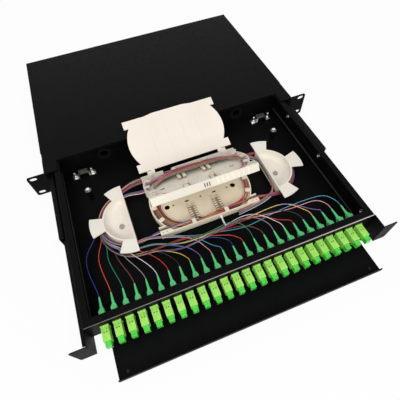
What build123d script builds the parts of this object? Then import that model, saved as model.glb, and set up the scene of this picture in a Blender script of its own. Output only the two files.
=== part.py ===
from build123d import *
import math
import os

# Sliding 19-inch fibre optic patch panel, one rack unit high, with its drawer pulled out.
# Millimetres. X runs to the right, Y to the rear, Z up. The origin is the centre of the rack
# slot pattern, on the front face of the rack ears.

os.makedirs("parts", exist_ok=True)

# Rack and housing
RACK_WIDTH = 482.6
RACK_SLOT_X = RACK_WIDTH - 17.5
RACK_SLOT_Z = 31.75
RACK_SLOT_LENGTH = 11.0
RACK_SLOT_WIDTH = 6.8
PANEL_HEIGHT = 44.0
HOUSING_DEPTH = 300.0
SHEET = 1.2
EAR_THICKNESS = 2.0
EAR_HEIGHT = 43.6
EAR_LEG = 38.0
EAR_LEG_HEIGHT = 34.0
COVER_RECESS = 21.0
COVER_TAB = 21.0
COVER_FLANGE = 12.0
COVER_FLANGE_START = 45.0
REAR_WINDOW_HEIGHT = 28.0
BEND_RADIUS = 1.6

# Drawer
DRAWER_WIDTH = RACK_WIDTH - 82.6
REAR_WINDOW_WIDTH = DRAWER_WIDTH - 20.0
DRAWER_OUT = 267.5
DRAWER_FLOOR_CLEARANCE = 0.8
STOP_CLEARANCE = 0.3
DRAWER_REAR = 29.2
DRAWER_FLANGE = 9.5
PANEL_Y = -248.0
PANEL_FLANGE = 10.0
WING_FLANGE = 20.2
WING_CORNER_RADIUS = 5.0
ENTRY_X = DRAWER_WIDTH / 2 - 79.0
ENTRY_Z = -2.0
ENTRY_RADIUS = 10.0
GROMMET_LIP = 2.2
GROMMET_LIP_DEPTH = 1.4
GROMMET_BORE = 7.0

# Telescopic slides
SLIDE_SPACE = 12.7
SLIDE_HEIGHT = 35.0
SLIDE_SHEET = 1.2
SLIDE_LENGTH = 280.0
SLIDE_START = 4.0
MIDDLE_SETBACK = 14.0
RACE_GAP = 3.1
RACE_DEPTH = 8.2

# Front tray
TRAY_WIDTH = DRAWER_WIDTH - 40.0
TRAY_REACH = 62.0
TRAY_UNDER_PANEL = 12.0
TRAY_LIP = 10.0

# Adapters, caps and connectors
PORTS = 24
PORT_PITCH = (DRAWER_WIDTH - 28.0) / PORTS
PORT_Z = 1.0
ADAPTER_WIDTH = 9.2
ADAPTER_HEIGHT = 12.8
ADAPTER_FRONT = 18.5
ADAPTER_REAR = 10.0
CUTOUT_CLEARANCE = 0.2
ADAPTER_RIM = 0.5
ADAPTER_RIM_DEPTH = 1.4
PORT_WALL = 1.0
PORT_DEPTH = 7.0
CAP_LENGTH = 7.0
PLUG_WIDTH = 7.2
PLUG_HEIGHT = 9.0
PLUG_OUT = 8.8
PORT_CLEARANCE = 0.1
CLIP_MARK_Y = 4.0
CLIP_MARK_SPACING = 5.0
CAP_NECK = 0.6
CAP_RIDGE = 1.0
CAP_RIDGE_WIDTH = 8.0
CAP_RIDGE_HEIGHT = 10.0
CAP_TAPER = 2.0
BOOT_LENGTH = 18.0
BOOT_FOOT = 2.4
BOOT_FOOT_WIDTH = 6.6
BOOT_FOOT_HEIGHT = 5.4
BOOT_BASE_RADIUS = 2.1
BOOT_TIP_RADIUS = 0.9
PANEL_SCREW_X = tuple(PORT_PITCH * gap for gap in (-10, -4, 4, 10))
PANEL_SCREW_RADIUS = 1.5
TRAY_RIVET_X = (-TRAY_WIDTH / 2 + 12.0, TRAY_WIDTH / 2 - 12.0)
TRAY_RIVET_RADIUS = 1.2

# Splice trays and their lid
SPLICE_WIDTH = DRAWER_WIDTH * 0.4
SPLICE_CORNER_WIDTH = SPLICE_WIDTH - 4.0
SPLICE_DEPTH = 96.0
SPLICE_BACK = -57.0
SPLICE_HEIGHT = 12.0
SPLICE_WALL = 1.6
SPLICE_FLOOR = 1.6
SIDE_ARC_X = SPLICE_WIDTH / 2 - 22.0
CORNER_BLOCK_X = 20.0
CORNER_BLOCK_Y = 13.6
CORNER_HOLE_X = SPLICE_WIDTH / 2 - 9.0
CORNER_HOLE_EDGE = 3.2
CORNER_HOLE_SPACING = 6.0
CORNER_HOLE_RADIUS = 1.0
CORNER_HOLE_DEPTH = 4.0
TAB_THICKNESS = 1.4
TAB_LENGTH = 9.0
TAB_WIDTH = 6.0
TAB_ANGLE = 24.0
TAB_X = 26.0
CENTRE_HOLE_RADIUS = 1.7
SLOT_X = 22.7
SLOT_LENGTH = 7.0
SMALL_HOLE_X = SPLICE_WIDTH / 2 - 35.0
BIG_HOLE_X = SPLICE_WIDTH / 2 - 25.0
BIG_HOLE_RADIUS = 4.2
COMB_X = 20.0
COMB_Y = 24.0
COMB_WIDTH = 13.0
COMB_LENGTH = 23.0
COMB_PAD = 0.8
COMB_PITCH = 4.2
COMB_RIBS = 6
RIB_WIDTH = 4.6
RIB_THICKNESS = 1.3
RIB_HEIGHT = 4.0
CHANNEL_X = SPLICE_WIDTH / 2 - 9.0
CHANNEL_Y = 38.7
CHANNEL_LENGTH = 20.0
CHANNEL_WIDTH = 5.4
NOTCH_X = -34.0
NOTCH_WIDTH = 16.0
SPLICE_GAP = 0.6
HINGE_Y = -53.0
HINGE_HEIGHT = 16.8
HINGE_PIN_RADIUS = 1.2
PIN_CLEARANCE = 0.05
PIN_SEAT = 0.01
EAR_RADIUS = 3.0
OUTER_EAR_X = SPLICE_WIDTH / 2 - 6.4
OUTER_EAR_WIDTH = 7.0
INNER_EAR_X = SPLICE_WIDTH / 2 - 13.7
INNER_EAR_WIDTH = 7.0
TRAY_LID_EAR_X = SPLICE_WIDTH / 2 - 17.0
LID_KNUCKLE_X = SPLICE_WIDTH / 2 - 23.3
LID_EAR_WIDTH = 6.0
LID_EAR_DEPTH = 5.0
LID_SETBACK = 0.5
TRAY_TILT = 33.0
LID_SLOPE = 19.4
LID_THICKNESS = 2.0
LID_GAP = 0.3
LID_LENGTH = 97.5
LID_EDGE = 3.6
LID_STEP = 2.2
LID_STEP_X = SPLICE_WIDTH / 4
LID_STEP_RUN = 13.0
LID_RIB = 0.4
LID_RIB_SPACING = 26.0

# Fibre spools
SPOOL_X = SPLICE_WIDTH / 2 + 32.5
SPOOL_Y = -107.0
SPOOL_RADIUS = 40.0
SPOOL_TAB_RADIUS = 59.0
SPOOL_HEIGHT = 16.8
SPOOL_WALL = 2.2
SPOOL_FLOOR = 3.0
SPOOL_TAB = 1.6
SPOOL_SIDE_TAB_ANGLE = 16.0
SPOOL_END_TAB_ANGLE = 27.0
SPOOL_DISH_RADIUS = 8.0
SPOOL_SCREW = (SPOOL_X + 15.5, -112.0)
SPOOL_SCREW_RADIUS = 2.0

# Cable posts and saddle clamps
POST_X = DRAWER_WIDTH / 2 - 40.0
POST_Y = -40.0
POST_RADIUS = 4.0
POST_HEIGHT = 20.0
POST_SCREW_RADIUS = 2.0
POST_SCREW_DEPTH = 8.0
WASHER = 0.8
CLAMP_X = DRAWER_WIDTH / 2 - 37.0
CLAMP_Y = 10.0
CLAMP_SPACING = 28.0
CLAMP_WIDTH = 10.0
CLAMP_RADIUS = 7.0
CLAMP_RISE = 9.0
CLAMP_SHEET = 1.2
STUD_RADIUS = 2.0
STUD_HEIGHT = 12.0
NUT_RADIUS = 4.0
NUT_HEIGHT = 3.2

# Fibres
FIBRE_RADIUS = 0.42
STACK_ROWS = 5
STACK_PITCH = 1.2
STACK_RADIUS = 47.2
STACK_Z = -11.4
STACK_END_ANGLE = 190.0
LANE_START = 145.0
LANE_PITCH = 1.6
LANE_REAR = -161.0
LANE_STEP = 36.0
ARC_STEP = 13.4
LEAD_STEPS = 5
JOIN_ANGLES = (190.0, 206.0, 218.0, 229.0, 239.0, 251.0, 258.0)
TURN_REACH = 36.0
START_HANDLE = 0.4
END_HANDLE = 0.5
BUNDLE_RADIUS = 3.2
TAIL_RADIUS = 2.0
TAIL_LEVEL = 7.8
TAIL_START = -44.0
LEAD_Y = -45.5
COIL_WIDTH = 4.0
COIL_END = SPLICE_WIDTH / 2 - 2.5
BUNDLE_END_ANGLE = 96.0
BUNDLE_RISE_X = SPLICE_WIDTH / 2 - 14.0
BUNDLE_REST_X = SPLICE_WIDTH / 2 + 2.0

# Fasteners
SCREW_CLEARANCE = 0.1
RECESS_SLOT = 0.26

# Levels and planes that follow from the sizes above
BOTTOM = -PANEL_HEIGHT / 2
TOP = PANEL_HEIGHT / 2
WALL_INNER = DRAWER_WIDTH / 2 + SLIDE_SPACE
WALL_OUTER = WALL_INNER + SHEET
DRAWER_BOTTOM = BOTTOM + SHEET + DRAWER_FLOOR_CLEARANCE
DRAWER_FLOOR = DRAWER_BOTTOM + SHEET
DRAWER_TOP = TOP - SHEET - DRAWER_FLOOR_CLEARANCE
DRAWER_INNER = DRAWER_WIDTH / 2 - SHEET
WING_FRONT = -(DRAWER_OUT + SHEET + STOP_CLEARANCE)
TRAY_TOP = DRAWER_FLOOR + SHEET
FOOT_TOP = TRAY_TOP + SHEET
PANEL_HALF = DRAWER_INNER - 0.2
PANEL_SCREW_Y = PANEL_Y + 6.5
TRAY_RIVET_Y = PANEL_Y - TRAY_REACH + 8.0
SIDE_ARC_RISE = SPLICE_WIDTH / 2 - SIDE_ARC_X
SIDE_ARC_RADIUS = ((SPLICE_DEPTH / 2) ** 2 + SIDE_ARC_RISE**2) / (2 * SIDE_ARC_RISE)
SIDE_ARC_CENTRE = SPLICE_WIDTH / 2 - SIDE_ARC_RADIUS
SIDES = {"left": -1, "right": 1}


def save(piece, name):
    """Label a finished piece and write it under its own name."""
    piece.label = name
    export_step(piece, f"parts/{name}.step")


def along_x(x, y, z, sign):
    """Plane whose normal points outward along X on the given side."""
    return Plane(origin=(sign * x, y, z), x_dir=(0, sign, 0), z_dir=(sign, 0, 0))


def along_y(y, x=0.0, z=0.0):
    """Upright plane at y, its normal towards the front."""
    return Plane(origin=(x, y, z), x_dir=(1, 0, 0), z_dir=(0, -1, 0))


def rearward(y, z):
    """Upright plane at y through height z, its normal towards the rear."""
    return Plane(origin=(0, y, z), x_dir=(1, 0, 0), z_dir=(0, 1, 0))


def level(z):
    """Horizontal plane at height z, its normal up."""
    return Plane.XY.offset(z)


# Housing base: floor, two side walls and a rear wall with one wide cable window
COVER_SCREW_Y = (80.0, 170.0, 260.0)
COVER_SCREW_Z = TOP - COVER_FLANGE / 2 - 1.0
COVER_SCREW_RADIUS = 1.5
EAR_SCREW_Y = (13.0, 29.0)
EAR_SCREW_RADIUS = 2.0

with BuildPart() as housing_base:
    with BuildSketch(along_y(HOUSING_DEPTH)):
        with BuildLine():
            FilletPolyline(
                (-WALL_OUTER, TOP - SHEET),
                (-WALL_OUTER, BOTTOM),
                (WALL_OUTER, BOTTOM),
                (WALL_OUTER, TOP - SHEET),
                radius=BEND_RADIUS,
            )
            offset(amount=SHEET, side=Side.LEFT)
        make_face()
    extrude(amount=HOUSING_DEPTH)
    with BuildSketch(along_y(HOUSING_DEPTH)):
        with Locations((0, -SHEET / 2)):
            Rectangle(2 * WALL_INNER, PANEL_HEIGHT - SHEET)
            RectangleRounded(REAR_WINDOW_WIDTH, REAR_WINDOW_HEIGHT, 5, mode=Mode.SUBTRACT)
    extrude(amount=SHEET)
    for sign in SIDES.values():
        with BuildSketch(along_x(WALL_INNER - 1, 0, 0, sign)):
            with Locations(*[(sign * y, COVER_SCREW_Z) for y in COVER_SCREW_Y]):
                Circle(COVER_SCREW_RADIUS + SCREW_CLEARANCE)
            with Locations(*[(sign * y, 0) for y in EAR_SCREW_Y]):
                Circle(EAR_SCREW_RADIUS + SCREW_CLEARANCE)
        extrude(amount=SHEET + 2, mode=Mode.SUBTRACT)
save(housing_base.part, "housing_base")

# Top cover: plate with two side flanges, its front edge set back between two corner tabs
with BuildPart() as top_cover:
    with BuildSketch(level(TOP - SHEET)):
        with Locations((0, HOUSING_DEPTH / 2)):
            Rectangle(2 * WALL_OUTER, HOUSING_DEPTH)
        with Locations((0, COVER_RECESS / 2)):
            Rectangle(2 * (WALL_OUTER - COVER_TAB), COVER_RECESS, mode=Mode.SUBTRACT)
    extrude(amount=SHEET)
    for sign in SIDES.values():
        with BuildSketch(level(TOP - COVER_FLANGE)):
            with Locations((sign * (WALL_OUTER + SHEET / 2), (COVER_FLANGE_START + HOUSING_DEPTH) / 2)):
                Rectangle(SHEET, HOUSING_DEPTH - COVER_FLANGE_START)
        extrude(amount=COVER_FLANGE)
    outer_edges = top_cover.edges().filter_by(Axis.Y).group_by(Axis.Z)[-1]
    long_edges = outer_edges.filter_by(lambda e: e.length > HOUSING_DEPTH - COVER_FLANGE_START - 1)
    fillet(long_edges.filter_by(lambda e: abs(e.center().X) > WALL_OUTER + SHEET / 2), SHEET * 0.8)
    for sign in SIDES.values():
        with BuildSketch(along_x(WALL_OUTER - 0.5, 0, 0, sign)):
            with Locations(*[(sign * y, COVER_SCREW_Z) for y in COVER_SCREW_Y]):
                Circle(COVER_SCREW_RADIUS + SCREW_CLEARANCE)
        extrude(amount=SHEET + 1, mode=Mode.SUBTRACT)
save(top_cover.part, "top_cover")

# Rack ears: bent angle plates with two oval slots, screwed to the side walls
for side, sign in SIDES.items():
    with BuildPart() as rack_ear:
        with BuildSketch(level(-EAR_HEIGHT / 2)):
            with Locations((sign * (WALL_OUTER + RACK_WIDTH / 2) / 2, EAR_THICKNESS / 2)):
                Rectangle(RACK_WIDTH / 2 - WALL_OUTER, EAR_THICKNESS)
        extrude(amount=EAR_HEIGHT)
        with BuildSketch(level(-EAR_LEG_HEIGHT / 2)):
            with Locations((sign * (WALL_OUTER + EAR_THICKNESS / 2), EAR_LEG / 2)):
                Rectangle(EAR_THICKNESS, EAR_LEG)
        extrude(amount=EAR_LEG_HEIGHT)
        outer_corners = rack_ear.edges().filter_by(Axis.Y).filter_by(lambda e: abs(e.center().X) > RACK_WIDTH / 2 - 1)
        fillet(outer_corners, 3.5)
        leg_corners = rack_ear.edges().filter_by(Axis.X).group_by(Axis.Y)[-1]
        chamfer(leg_corners, 5)
        with BuildSketch(along_y(EAR_THICKNESS + 1, sign * RACK_SLOT_X / 2)):
            with GridLocations(1, RACK_SLOT_Z, 1, 2):
                SlotOverall(RACK_SLOT_LENGTH, RACK_SLOT_WIDTH)
        extrude(amount=EAR_THICKNESS + 2, mode=Mode.SUBTRACT)
        with BuildSketch(along_x(WALL_OUTER - 1, 0, 0, sign)):
            with Locations(*[(sign * y, 0) for y in EAR_SCREW_Y]):
                Circle(EAR_SCREW_RADIUS + SCREW_CLEARANCE)
        extrude(amount=EAR_THICKNESS + 2, mode=Mode.SUBTRACT)
    save(rack_ear.part, f"rack_ear_{side}")


def pan_screws(planes, radius, shank, head_radius, head_height, recess=0.5):
    """Group of screws: each head stands on its plane, has a cross recess, and its shank goes back through it."""
    with BuildPart() as screws:
        for plane in planes:
            with BuildSketch(plane):
                Circle(head_radius)
            extrude(amount=head_height, taper=18)
            with BuildSketch(plane):
                Circle(radius)
            extrude(amount=-shank)
            if recess:
                with BuildSketch(plane.offset(head_height)):
                    Rectangle(head_radius, head_radius * RECESS_SLOT)
                    Rectangle(head_radius * RECESS_SLOT, head_radius)
                extrude(amount=-head_height * recess, mode=Mode.SUBTRACT)
    return screws


# Screws that hold the ears and the cover
ear_screw_planes = [along_x(WALL_OUTER + EAR_THICKNESS, y, 0, s) for s in SIDES.values() for y in EAR_SCREW_Y]
ear_screws = pan_screws(ear_screw_planes, EAR_SCREW_RADIUS, EAR_THICKNESS + SHEET, 3.8, 2.2)
save(ear_screws.part, "ear_screws")

cover_screw_planes = [along_x(WALL_OUTER + SHEET, y, COVER_SCREW_Z, s) for s in SIDES.values() for y in COVER_SCREW_Y]
cover_screws = pan_screws(cover_screw_planes, COVER_SCREW_RADIUS, 2 * SHEET, 2.8, 1.6)
save(cover_screws.part, "cover_screws")


def channel(y0, y1, web_x, toward, half_height, depth, sign):
    """C-shaped slide member from y0 to y1: web at web_x, its arms pointing along toward."""
    arm = web_x + toward * depth
    with BuildPart() as member:
        with BuildSketch(along_y(y1)):
            with BuildLine():
                FilletPolyline(
                    (sign * arm, half_height),
                    (sign * web_x, half_height),
                    (sign * web_x, -half_height),
                    (sign * arm, -half_height),
                    radius=BEND_RADIUS,
                )
                offset(amount=SLIDE_SHEET, side=Side.LEFT if sign * toward > 0 else Side.RIGHT)
            make_face()
        extrude(amount=y1 - y0)
    return member


# Telescopic slides: fixed channel on the housing, middle channel, inner channel on the drawer
FIXED_HALF = SLIDE_HEIGHT / 2
MIDDLE_HALF = FIXED_HALF - SLIDE_SHEET - RACE_GAP
INNER_HALF = MIDDLE_HALF - SLIDE_SHEET - RACE_GAP
MIDDLE_WEB = WALL_INNER - SLIDE_SHEET - 0.3
MIDDLE_START = SLIDE_START + MIDDLE_SETBACK - DRAWER_OUT / 2
INNER_START = SLIDE_START - DRAWER_OUT
SLIDE_SCREW_Y = (-230.0, -118.0, -20.0)
SLIDE_SCREW_Z = 2.0
SLIDE_SCREW_RADIUS = 2.0

for side, sign in SIDES.items():
    slide_fixed = channel(SLIDE_START, SLIDE_START + SLIDE_LENGTH, WALL_INNER, -1, FIXED_HALF, RACE_DEPTH, sign)
    save(slide_fixed.part, f"slide_fixed_{side}")
    slide_middle = channel(MIDDLE_START, MIDDLE_START + SLIDE_LENGTH - MIDDLE_SETBACK - 4, MIDDLE_WEB, -1,
                           MIDDLE_HALF, RACE_DEPTH - 1.5, sign)
    save(slide_middle.part, f"slide_middle_{side}")
    slide_inner = channel(INNER_START, INNER_START + SLIDE_LENGTH, DRAWER_WIDTH / 2, 1, INNER_HALF, RACE_DEPTH - 1.7, sign)
    with BuildPart() as slide_inner_drilled:
        add(slide_inner.part)
        with BuildSketch(along_x(DRAWER_WIDTH / 2 - 0.5, 0, 0, sign)):
            with Locations(*[(sign * y, SLIDE_SCREW_Z) for y in SLIDE_SCREW_Y]):
                Circle(SLIDE_SCREW_RADIUS + SCREW_CLEARANCE)
        extrude(amount=SLIDE_SHEET + 1, mode=Mode.SUBTRACT)
    save(slide_inner_drilled.part, f"slide_inner_{side}")

# Drawer: bent sheet with floor, side walls, top flanges, rear wall and two front wings
with BuildPart() as drawer_shell:
    with BuildSketch(along_y(DRAWER_REAR)):
        with BuildLine():
            FilletPolyline(
                (-DRAWER_WIDTH / 2 + DRAWER_FLANGE, DRAWER_TOP),
                (-DRAWER_WIDTH / 2, DRAWER_TOP),
                (-DRAWER_WIDTH / 2, DRAWER_BOTTOM),
                (DRAWER_WIDTH / 2, DRAWER_BOTTOM),
                (DRAWER_WIDTH / 2, DRAWER_TOP),
                (DRAWER_WIDTH / 2 - DRAWER_FLANGE, DRAWER_TOP),
                radius=BEND_RADIUS,
            )
            offset(amount=SHEET, side=Side.LEFT)
        make_face()
    extrude(amount=DRAWER_REAR - PANEL_Y)
    with BuildSketch(along_y(DRAWER_REAR, 0, (DRAWER_BOTTOM + DRAWER_TOP) / 2)):
        Rectangle(2 * DRAWER_INNER, DRAWER_TOP - DRAWER_BOTTOM)
        with Locations(*[(sign * ENTRY_X, ENTRY_Z) for sign in SIDES.values()]):
            Circle(ENTRY_RADIUS, mode=Mode.SUBTRACT)
    extrude(amount=SHEET)
    with BuildSketch(level(DRAWER_TOP - SHEET)):
        with Locations((0, DRAWER_REAR - DRAWER_FLANGE / 2)):
            Rectangle(2 * DRAWER_INNER, DRAWER_FLANGE)
    extrude(amount=SHEET)
    for sign in SIDES.values():
        with BuildSketch(level(DRAWER_TOP - SHEET)):
            with Locations((sign * (DRAWER_INNER - DRAWER_FLANGE / 2), PANEL_Y + PANEL_FLANGE / 2 + 0.25)):
                Rectangle(DRAWER_FLANGE, PANEL_FLANGE + 0.5)
        extrude(amount=SHEET + 1, mode=Mode.SUBTRACT)
        with BuildSketch(level(DRAWER_BOTTOM)):
            with Locations((sign * (DRAWER_INNER + SHEET / 2), (WING_FRONT + PANEL_Y) / 2)):
                Rectangle(SHEET, PANEL_Y - WING_FRONT)
        extrude(amount=DRAWER_TOP - DRAWER_BOTTOM)
        with BuildSketch(along_y(WING_FRONT + SHEET, sign * (DRAWER_INNER + WING_FLANGE / 2))):
            Rectangle(WING_FLANGE, PANEL_HEIGHT)
            fillet(vertices(), WING_CORNER_RADIUS / 2)
        extrude(amount=SHEET)
        with BuildSketch(along_x(DRAWER_INNER - 0.5, 0, 0, sign)):
            with Locations(*[(sign * y, SLIDE_SCREW_Z) for y in SLIDE_SCREW_Y]):
                Circle(SLIDE_SCREW_RADIUS + SCREW_CLEARANCE)
        extrude(amount=SHEET + 1, mode=Mode.SUBTRACT)
    with BuildSketch(level(DRAWER_BOTTOM)):
        with Locations(*[(x, PANEL_SCREW_Y) for x in PANEL_SCREW_X]):
            Circle(PANEL_SCREW_RADIUS + SCREW_CLEARANCE)
        for sign in SIDES.values():
            with Locations((sign * SPOOL_SCREW[0], SPOOL_SCREW[1])):
                Circle(SPOOL_SCREW_RADIUS + SCREW_CLEARANCE)
            with Locations((sign * CLAMP_X, CLAMP_Y)):
                with GridLocations(CLAMP_SPACING, 1, 2, 1):
                    Circle(STUD_RADIUS + SCREW_CLEARANCE)
    extrude(amount=SHEET, mode=Mode.SUBTRACT)

# The shell is welded up from a floor with its rear wall and two sides; the seams run along the bends
SEAM_X = DRAWER_WIDTH / 2 - BEND_RADIUS
side_zones = {}
for side, sign in SIDES.items():
    with BuildPart() as side_zone:
        with Locations((sign * (SEAM_X + WING_FLANGE), 0, 0)):
            Box(2 * WING_FLANGE, 2 * HOUSING_DEPTH, 2 * PANEL_HEIGHT)
        with BuildSketch(level(DRAWER_TOP - SHEET - 0.2)):
            with Locations((sign * SEAM_X, (DRAWER_REAR - DRAWER_FLANGE + WING_FRONT) / 2)):
                Rectangle(2 * DRAWER_FLANGE, DRAWER_REAR - DRAWER_FLANGE - WING_FRONT)
        extrude(amount=PANEL_HEIGHT)
    side_zones[side] = side_zone.part
    with BuildPart() as drawer_side:
        add(drawer_shell.part)
        add(side_zones[side], mode=Mode.INTERSECT)
    save(drawer_side.part, f"drawer_side_{side}")
with BuildPart() as drawer_pan:
    add(drawer_shell.part)
    for zone in side_zones.values():
        add(zone, mode=Mode.SUBTRACT)
save(drawer_pan.part, "drawer_pan")

# Adapter panel: upright plate with a row of cut-outs, a rearward top flange and a screwed foot
with BuildPart() as adapter_panel:
    with BuildSketch(along_y(PANEL_Y + SHEET)):
        with Locations((0, (TRAY_TOP + DRAWER_TOP) / 2)):
            Rectangle(2 * PANEL_HALF, DRAWER_TOP - TRAY_TOP)
        with Locations((0, PORT_Z)):
            with GridLocations(PORT_PITCH, 1, PORTS, 1):
                Rectangle(ADAPTER_WIDTH + 2 * CUTOUT_CLEARANCE, ADAPTER_HEIGHT + 2 * CUTOUT_CLEARANCE,
                          mode=Mode.SUBTRACT)
    extrude(amount=SHEET)
    for z in (DRAWER_TOP - SHEET, TRAY_TOP):
        with BuildSketch(level(z)):
            with Locations((0, PANEL_Y + PANEL_FLANGE / 2)):
                Rectangle(2 * PANEL_HALF, PANEL_FLANGE)
        extrude(amount=SHEET)
    with BuildSketch(level(TRAY_TOP)):
        with Locations(*[(x, PANEL_SCREW_Y) for x in PANEL_SCREW_X]):
            Circle(PANEL_SCREW_RADIUS + SCREW_CLEARANCE)
    extrude(amount=SHEET, mode=Mode.SUBTRACT)
    front_edges = adapter_panel.edges().filter_by(Axis.X).filter_by(lambda e: e.length > DRAWER_WIDTH - 10)
    fillet(front_edges.group_by(Axis.Y)[0], SHEET * 0.8)
save(adapter_panel.part, "adapter_panel")

# Front tray: flat patch-cord tray under the adapters, with an upturned lip
TRAY_FRONT = PANEL_Y - TRAY_REACH
TRAY_REAR = PANEL_Y + TRAY_UNDER_PANEL
with BuildPart() as front_tray:
    with BuildSketch(level(DRAWER_FLOOR)):
        with Locations((0, (TRAY_FRONT + TRAY_REAR) / 2)):
            Rectangle(TRAY_WIDTH, TRAY_REAR - TRAY_FRONT)
        with Locations(*[(x, PANEL_SCREW_Y) for x in PANEL_SCREW_X]):
            Circle(PANEL_SCREW_RADIUS + SCREW_CLEARANCE, mode=Mode.SUBTRACT)
        with Locations(*[(x, TRAY_RIVET_Y) for x in TRAY_RIVET_X]):
            Circle(TRAY_RIVET_RADIUS + SCREW_CLEARANCE, mode=Mode.SUBTRACT)
    extrude(amount=SHEET)
    with BuildSketch(along_y(TRAY_FRONT + SHEET, 0, DRAWER_FLOOR + TRAY_LIP / 2)):
        Rectangle(TRAY_WIDTH, TRAY_LIP)
        fillet(vertices().group_by(Axis.Z)[-1], 3)
    extrude(amount=SHEET)
    fillet(front_tray.edges().filter_by(Axis.X).group_by(Axis.Y)[0].group_by(Axis.Z)[0], SHEET * 0.8)
save(front_tray.part, "front_tray")

panel_screw_planes = [level(FOOT_TOP).shift_origin((x, PANEL_SCREW_Y, FOOT_TOP)) for x in PANEL_SCREW_X]
panel_screws = pan_screws(panel_screw_planes, PANEL_SCREW_RADIUS, 3 * SHEET, 2.8, 1.6)
save(panel_screws.part, "panel_screws")

tray_rivet_planes = [level(TRAY_TOP).shift_origin((x, TRAY_RIVET_Y, TRAY_TOP)) for x in TRAY_RIVET_X]
tray_rivets = pan_screws(tray_rivet_planes, TRAY_RIVET_RADIUS, SHEET, 2.2, 0.6, recess=0)
save(tray_rivets.part, "tray_rivets")

# Screws through the drawer walls into the inner slide members
slide_screw_planes = [
    Plane(origin=(s * DRAWER_INNER, y, SLIDE_SCREW_Z), x_dir=(0, s, 0), z_dir=(-s, 0, 0))
    for s in SIDES.values() for y in SLIDE_SCREW_Y
]
slide_screws = pan_screws(slide_screw_planes, SLIDE_SCREW_RADIUS, 2 * SHEET, 3.6, 1.8)
save(slide_screws.part, "slide_screws")

# Adapters: SC couplers through the panel, hollow at both ends round a solid middle
ADAPTER_FACE = PANEL_Y - ADAPTER_FRONT
ADAPTER_BACK = PANEL_Y + SHEET + ADAPTER_REAR
with BuildPart() as adapters:
    with BuildSketch(along_y(ADAPTER_BACK, 0, PORT_Z)):
        with GridLocations(PORT_PITCH, 1, PORTS, 1):
            Rectangle(ADAPTER_WIDTH, ADAPTER_HEIGHT)
    extrude(amount=ADAPTER_BACK - ADAPTER_FACE)
    with BuildSketch(along_y(PANEL_Y, 0, PORT_Z)):
        with GridLocations(PORT_PITCH, 1, PORTS, 1):
            Rectangle(ADAPTER_WIDTH + 2 * ADAPTER_RIM, ADAPTER_HEIGHT + 2 * ADAPTER_RIM)
    extrude(amount=ADAPTER_RIM_DEPTH)
    with BuildSketch(along_y(ADAPTER_FACE, 0, PORT_Z), along_y(ADAPTER_BACK - PORT_DEPTH, 0, PORT_Z)):
        with GridLocations(PORT_PITCH, 1, PORTS, 1):
            Rectangle(PLUG_WIDTH + 2 * PORT_CLEARANCE, PLUG_HEIGHT + 2 * PORT_CLEARANCE)
    extrude(amount=-PORT_DEPTH, mode=Mode.SUBTRACT)
    with BuildSketch(level(PORT_Z + ADAPTER_HEIGHT / 2)):
        with Locations((0, PANEL_Y - CLIP_MARK_Y)):
            with GridLocations(PORT_PITCH, 1, PORTS, 1):
                with GridLocations(CLIP_MARK_SPACING, 1, 2, 1):
                    Rectangle(1.6, 2.4)
    extrude(amount=-0.8, mode=Mode.SUBTRACT)
save(adapters.part, "adapters")

# Dust caps: neck in the front port, a gripping ridge and a tapered end
with BuildPart() as dust_caps:
    with BuildSketch(along_y(ADAPTER_FACE + PORT_DEPTH - 0.5, 0, PORT_Z)):
        with GridLocations(PORT_PITCH, 1, PORTS, 1):
            Rectangle(PLUG_WIDTH, PLUG_HEIGHT)
    extrude(amount=PORT_DEPTH - 0.5 + CAP_NECK)
    with BuildSketch(along_y(ADAPTER_FACE - CAP_NECK, 0, PORT_Z)):
        with GridLocations(PORT_PITCH, 1, PORTS, 1):
            RectangleRounded(CAP_RIDGE_WIDTH, CAP_RIDGE_HEIGHT, 1)
    extrude(amount=CAP_RIDGE)
    with BuildSketch(along_y(ADAPTER_FACE - CAP_NECK - CAP_RIDGE, 0, PORT_Z)):
        with GridLocations(PORT_PITCH, 1, PORTS, 1):
            Rectangle(PLUG_WIDTH, PLUG_HEIGHT)
    extrude(amount=CAP_LENGTH - CAP_NECK - CAP_RIDGE, taper=CAP_TAPER)
save(dust_caps.part, "dust_caps")

# Connector plugs seated in the rear ports
PLUG_BACK = ADAPTER_BACK + PLUG_OUT
with BuildPart() as connector_plugs:
    with BuildSketch(along_y(PLUG_BACK, 0, PORT_Z)):
        with GridLocations(PORT_PITCH, 1, PORTS, 1):
            Rectangle(PLUG_WIDTH, PLUG_HEIGHT)
    extrude(amount=PLUG_OUT + PORT_DEPTH - 0.5)
    chamfer(connector_plugs.faces().group_by(Axis.Y)[-1].edges(), 0.8)
save(connector_plugs.part, "connector_plugs")

# Boots: a square foot on the plug and a long tapered sleeve round the fibre
with BuildPart() as connector_boots:
    with BuildSketch(rearward(PLUG_BACK, PORT_Z)):
        with GridLocations(PORT_PITCH, 1, PORTS, 1):
            RectangleRounded(BOOT_FOOT_WIDTH, BOOT_FOOT_HEIGHT, 1)
    extrude(amount=BOOT_FOOT, taper=14)
    with BuildSketch(rearward(PLUG_BACK + BOOT_FOOT, PORT_Z)):
        with GridLocations(PORT_PITCH, 1, PORTS, 1):
            Circle(BOOT_BASE_RADIUS)
    extrude(amount=BOOT_LENGTH - BOOT_FOOT,
            taper=math.degrees(math.atan((BOOT_BASE_RADIUS - BOOT_TIP_RADIUS) / (BOOT_LENGTH - BOOT_FOOT))))
save(connector_boots.part, "connector_boots")


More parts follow.
